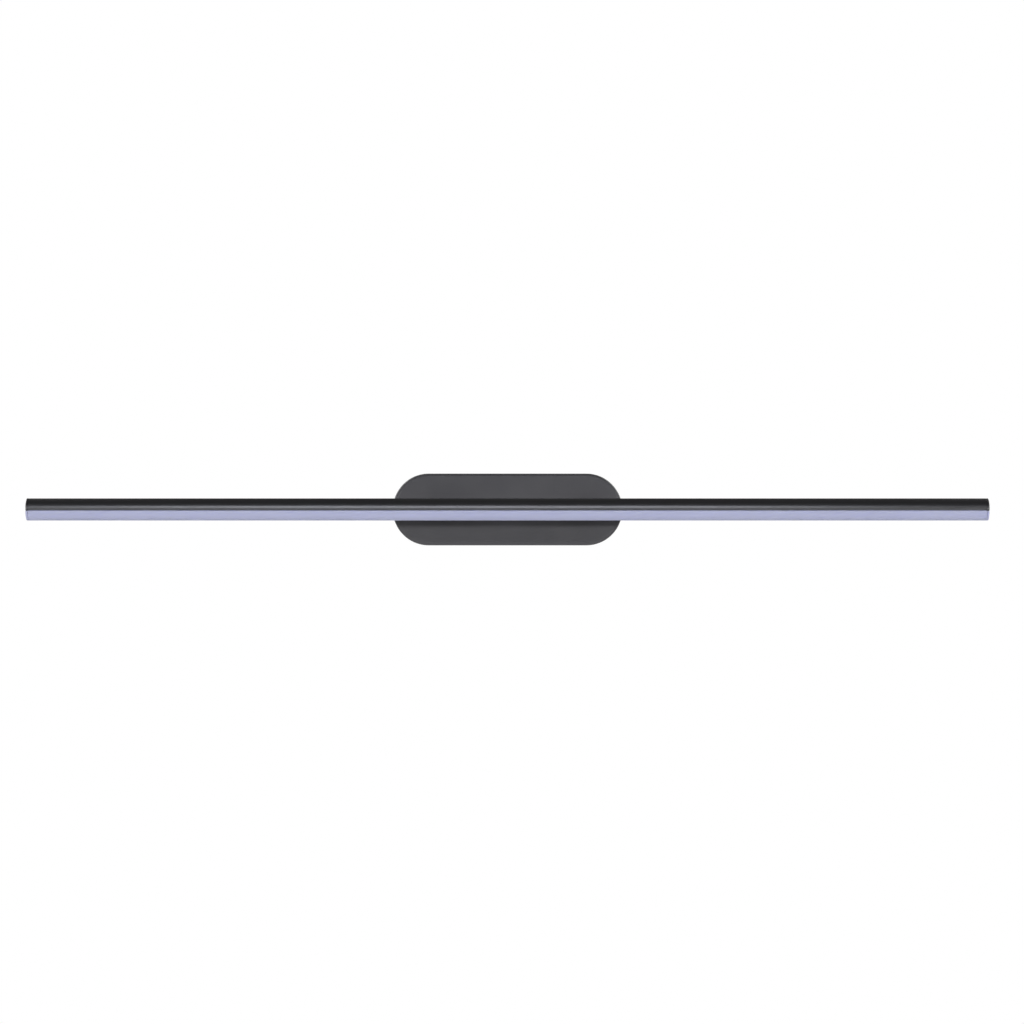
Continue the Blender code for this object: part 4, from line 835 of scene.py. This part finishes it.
def make_saddle(side_name, side):
    """Hub, trunnion and the foot that wraps the back of the bar."""
    node = f"saddle_{side_name}"
    hub_face = friction_low.x - GAP
    hub_start = hub_face - HUB_LENGTH
    back = -(pivot_to_bar - bar_radius - GAP - SADDLE_THICKNESS)
    front = -(pivot_to_bar - bar_radius - GAP) - SADDLE_WRAP
    half = SADDLE_HALF_WIDTH
    corner = SADDLE_THICKNESS / 2
    foot = [(front, -half), (back - corner, -half), (back, -half + corner)]
    foot += [(back, half - corner), (back - corner, half), (front, half)]
    ends = sorted((side * saddle_low.x, side * hub_face))
    saddle = prism(f"{node}_fine", eased(foot, FOOT_EASE), "X", *ends, edge=FOOT_EDGE)
    near, far, tip = side * hub_start, side * hub_face, side * saddle_high.x
    corners = [(near, 0.0), (near, barrel_radius), (far, barrel_radius), (far, TRUNNION_RADIUS)]
    corners += [(tip, TRUNNION_RADIUS), (tip, 0.0)]
    fuse(saddle, turned("hub", eased(corners, HUB_EDGE, closed=False), "X"))
    wire_x = hub_face - WIRE_HOLE_OFFSET
    across = sorted((0.0, side * 2 * hub_face))
    bore = sorted((side * (wire_x - WIRE_BORE_RADIUS), side * 2 * hub_face))
    tools = [
        cylinder("seat", bar_radius + GAP, "X", *across, (-pivot_to_bar, 0.0), SEAT_SIDES),
        cylinder("bore", WIRE_BORE_RADIUS, "X", *bore),
        cylinder("drop", WIRE_DROP_RADIUS, "Y", -pivot_to_bar, 0.0, (side * wire_x, 0.0)),
    ]
    for offset in SADDLE_SCREWS:
        spot = (side * (saddle_low.x + offset), 0.0)
        tools.append(cylinder("screw_hole", M3_HOLE, "Y", -pivot_to_bar, 0.0, spot))
    cut(saddle, *tools)
    saddle.data.transform(pivot_matrix)
    dress(saddle, MACHINED, node)


def make_saddle_screws(side_name, side):
    for number, offset in enumerate(SADDLE_SCREWS, 1):
        node = f"saddle_screw_{side_name}_{number}"
        low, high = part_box(node)
        seat = high.y - M3_HEAD_HEIGHT
        matrix = Matrix.Translation((side * (saddle_low.x + offset), seat, pivot.z))
        matrix = matrix @ Matrix.Rotation(-math.pi / 2, 4, "X")
        length = seat - low.y
        socket_screw(f"{node}_fine", M3_SHANK, M3_HEAD, M3_HEAD_HEIGHT, length, matrix, node, ZINC)


def make_friction_washer(side_name, side):
    """The nylon ring between the arm's barrel and the saddle's hub."""
    node = f"friction_washer_{side_name}"
    rim = (friction_high.z - friction_low.z) / 2
    bore = TRUNNION_RADIUS + GAP
    start, end = side * friction_low.x, side * friction_high.x
    profile = eased([(start, bore), (start, rim), (end, rim), (end, bore)], WASHER_EDGE)
    washer = turned(f"{node}_fine", profile, "X", ROUND, Matrix.Translation((0.0, pivot.y, 0.0)))
    dress(washer, NYLON, node)


# ---------------------------------------------------------------- light bar
def make_housing():
    """The extrusion: shell, ribs, web, wiring duct and screw ports, its lips eased."""
    rib = bore_radius - RIB_HEIGHT
    web_angle = math.degrees(math.asin(WEB_THICKNESS / bore_radius))
    section = arc(bar_radius, metal_low, metal_high, METAL_STEPS)
    section += arc(rib, metal_high, metal_high - RIB_ARC, RIB_STEPS)
    section += arc(bore_radius, metal_high - RIB_ARC, 180 + web_angle, WALL_STEPS)
    section += arc(bore_radius, -web_angle, metal_low + RIB_ARC, WALL_STEPS)
    section += arc(rib, metal_low + RIB_ARC, metal_low, RIB_STEPS)
    section = eased(section, SEAM_EASE)
    housing = prism("housing_shell", section, "X", -body_end, body_end)
    duct = prism("duct", arc(bore_radius, 0, 180, DUCT_STEPS), "X", -2 * body_end, 2 * body_end)
    bosses = []
    for angle in PORT_ANGLES:
        centre = polar(port_radius, angle)
        reach = (-3 * body_end, 3 * body_end)
        bosses.append(cylinder("boss", PORT_BOSS_RADIUS, "X", *reach, centre, HOLE_SIDES))
    cut(duct, *bosses)
    cut(housing, duct)
    tools = []
    for side in SIDES.values():
        for angle in PORT_ANGLES:
            depth = sorted((side * (body_end - PORT_DEPTH), side * 2 * body_end))
            centre = polar(port_radius, angle)
            tools.append(cylinder("port", M3_HOLE, "X", *depth, centre, HOLE_SIDES))
        for offset in SADDLE_SCREWS:
            tools.append(back_hole(side * (saddle_low.x + offset), M3_HOLE))
    tools.append(back_hole(friction_low.x - GAP - WIRE_HOLE_OFFSET, WIRE_BORE_RADIUS))
    cut(housing, *tools)
    housing.data.transform(bar_matrix)
    dress(housing, ANODISED, "bar_housing", SHARP_ANGLE_BAR)


def back_hole(x, radius):
    """A tool for a hole in the bar's back, straight towards the wall once the bar is turned."""
    turned_back = Matrix.Rotation(LENS_TURN, 4, "X")
    reach = (bar_radius / 2, 2 * bar_radius)
    return cylinder("back_hole", radius, "Y", *reach, (x, 0.0), HOLE_SIDES, turned_back)


def make_lens():
    """Opal trough with eased seam edges and the tongues that snap into the housing."""
    tip = LENS_HALF_ANGLE + TONGUE_ARC
    barb = tip - BARB_ARC
    barb_radius = bore_radius - GAP
    tongue_outer = bore_radius - RIB_HEIGHT - GAP
    tongue_inner = tongue_outer - TONGUE_WALL
    section = arc(bar_radius, -90 - lens_half, -90 + lens_half, LENS_STEPS)
    section += arc(tongue_outer, -90 + lens_half, -90 + barb, TONGUE_STEPS)
    section += arc(barb_radius, -90 + barb, -90 + tip, BARB_STEPS)
    section += arc(tongue_inner, -90 + tip, -90 + shoulder_half, WALL_STEPS)
    section += arc(bore_radius, -90 + shoulder_half, -90 - shoulder_half, LENS_INNER_STEPS)
    section += arc(tongue_inner, -90 - shoulder_half, -90 - tip, WALL_STEPS)
    section += arc(barb_radius, -90 - tip, -90 - barb, BARB_STEPS)
    section += arc(tongue_outer, -90 - barb, -90 - lens_half, TONGUE_STEPS)
    lens = prism("lens_trough", eased(section, SEAM_EASE), "X", -body_end, body_end, bar_matrix)
    dress(lens, OPAL, "lens_diffuser", SHARP_ANGLE_BAR)


def make_end_caps(side_name, side):
    """Turned-edge metal cap with two countersinks, and the opal plug below it."""
    node = f"end_cap_{side_name}"
    inner, outer = side * (body_end + GAP), side * bar_end
    outline = eased(arc(bar_radius, metal_low, metal_high, METAL_STEPS), SEAM_EASE)
    cap = prism(f"{node}_fine", outline, "X", inner, outer, edge=CAP_EDGE)
    tools = []
    head = M3_HEAD + GAP
    slope = (head - M3_HOLE) / M3_HEAD_HEIGHT
    for angle in PORT_ANGLES:
        seat = outer - side * M3_HEAD_HEIGHT
        past = outer + side * GAP
        profile = [(inner - side * GAP, 0.0), (inner - side * GAP, M3_HOLE), (seat, M3_HOLE)]
        profile += [(past, head + slope * GAP), (past, 0.0)]
        place = Matrix.Translation((0.0, *polar(port_radius, angle)))
        tools.append(turned("countersink", profile, "X", SMALL_ROUND, place))
    cut(cap, *tools)
    cap.data.transform(bar_matrix)
    dress(cap, ANODISED, node)

    node = f"lens_cap_{side_name}"
    outline = eased(arc(bar_radius, -90 - lens_half, -90 + lens_half, LENS_STEPS), SEAM_EASE)
    opal = prism(f"{node}_fine", outline, "X", inner, outer, edge=CAP_EDGE)
    plug_radius = bore_radius - GAP
    spread = shoulder_half - math.degrees(PLUG_CLEARANCE / plug_radius)
    start = side * plug_end
    plug_outline = arc(plug_radius, -90 - spread, -90 + spread, DUCT_STEPS)
    fuse(opal, prism("plug", plug_outline, "X", start, inner + side * GAP))
    opal.data.transform(bar_matrix)
    dress(opal, OPAL, node)


def make_end_cap_screws(side_name, side):
    for number, angle in enumerate(PORT_ANGLES, 1):
        node = f"end_cap_screw_{side_name}_{number}"
        low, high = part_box(node)
        seat = side * (bar_end - M3_HEAD_HEIGHT)
        head = (M3_HEAD, M3_HEAD_HEIGHT - GAP)
        length = (high.x - low.x) - (M3_HEAD_HEIGHT - GAP)
        matrix = bar_matrix @ Matrix.Translation((seat, *polar(port_radius, angle)))
        matrix = matrix @ Matrix.Rotation(side * math.pi / 2, 4, "Y")
        socket_screw(f"{node}_fine", M3_SHANK, *head, length, matrix, node, MACHINED, True)


make_canopy()
make_canopy_screws()
for name_of_side, sign in SIDES.items():
    make_arm(name_of_side, sign)
    make_knuckle_cap(name_of_side, sign)
    make_saddle(name_of_side, sign)
    make_saddle_screws(name_of_side, sign)
    make_friction_washer(name_of_side, sign)
    make_end_caps(name_of_side, sign)
    make_end_cap_screws(name_of_side, sign)
make_housing()
make_lens()
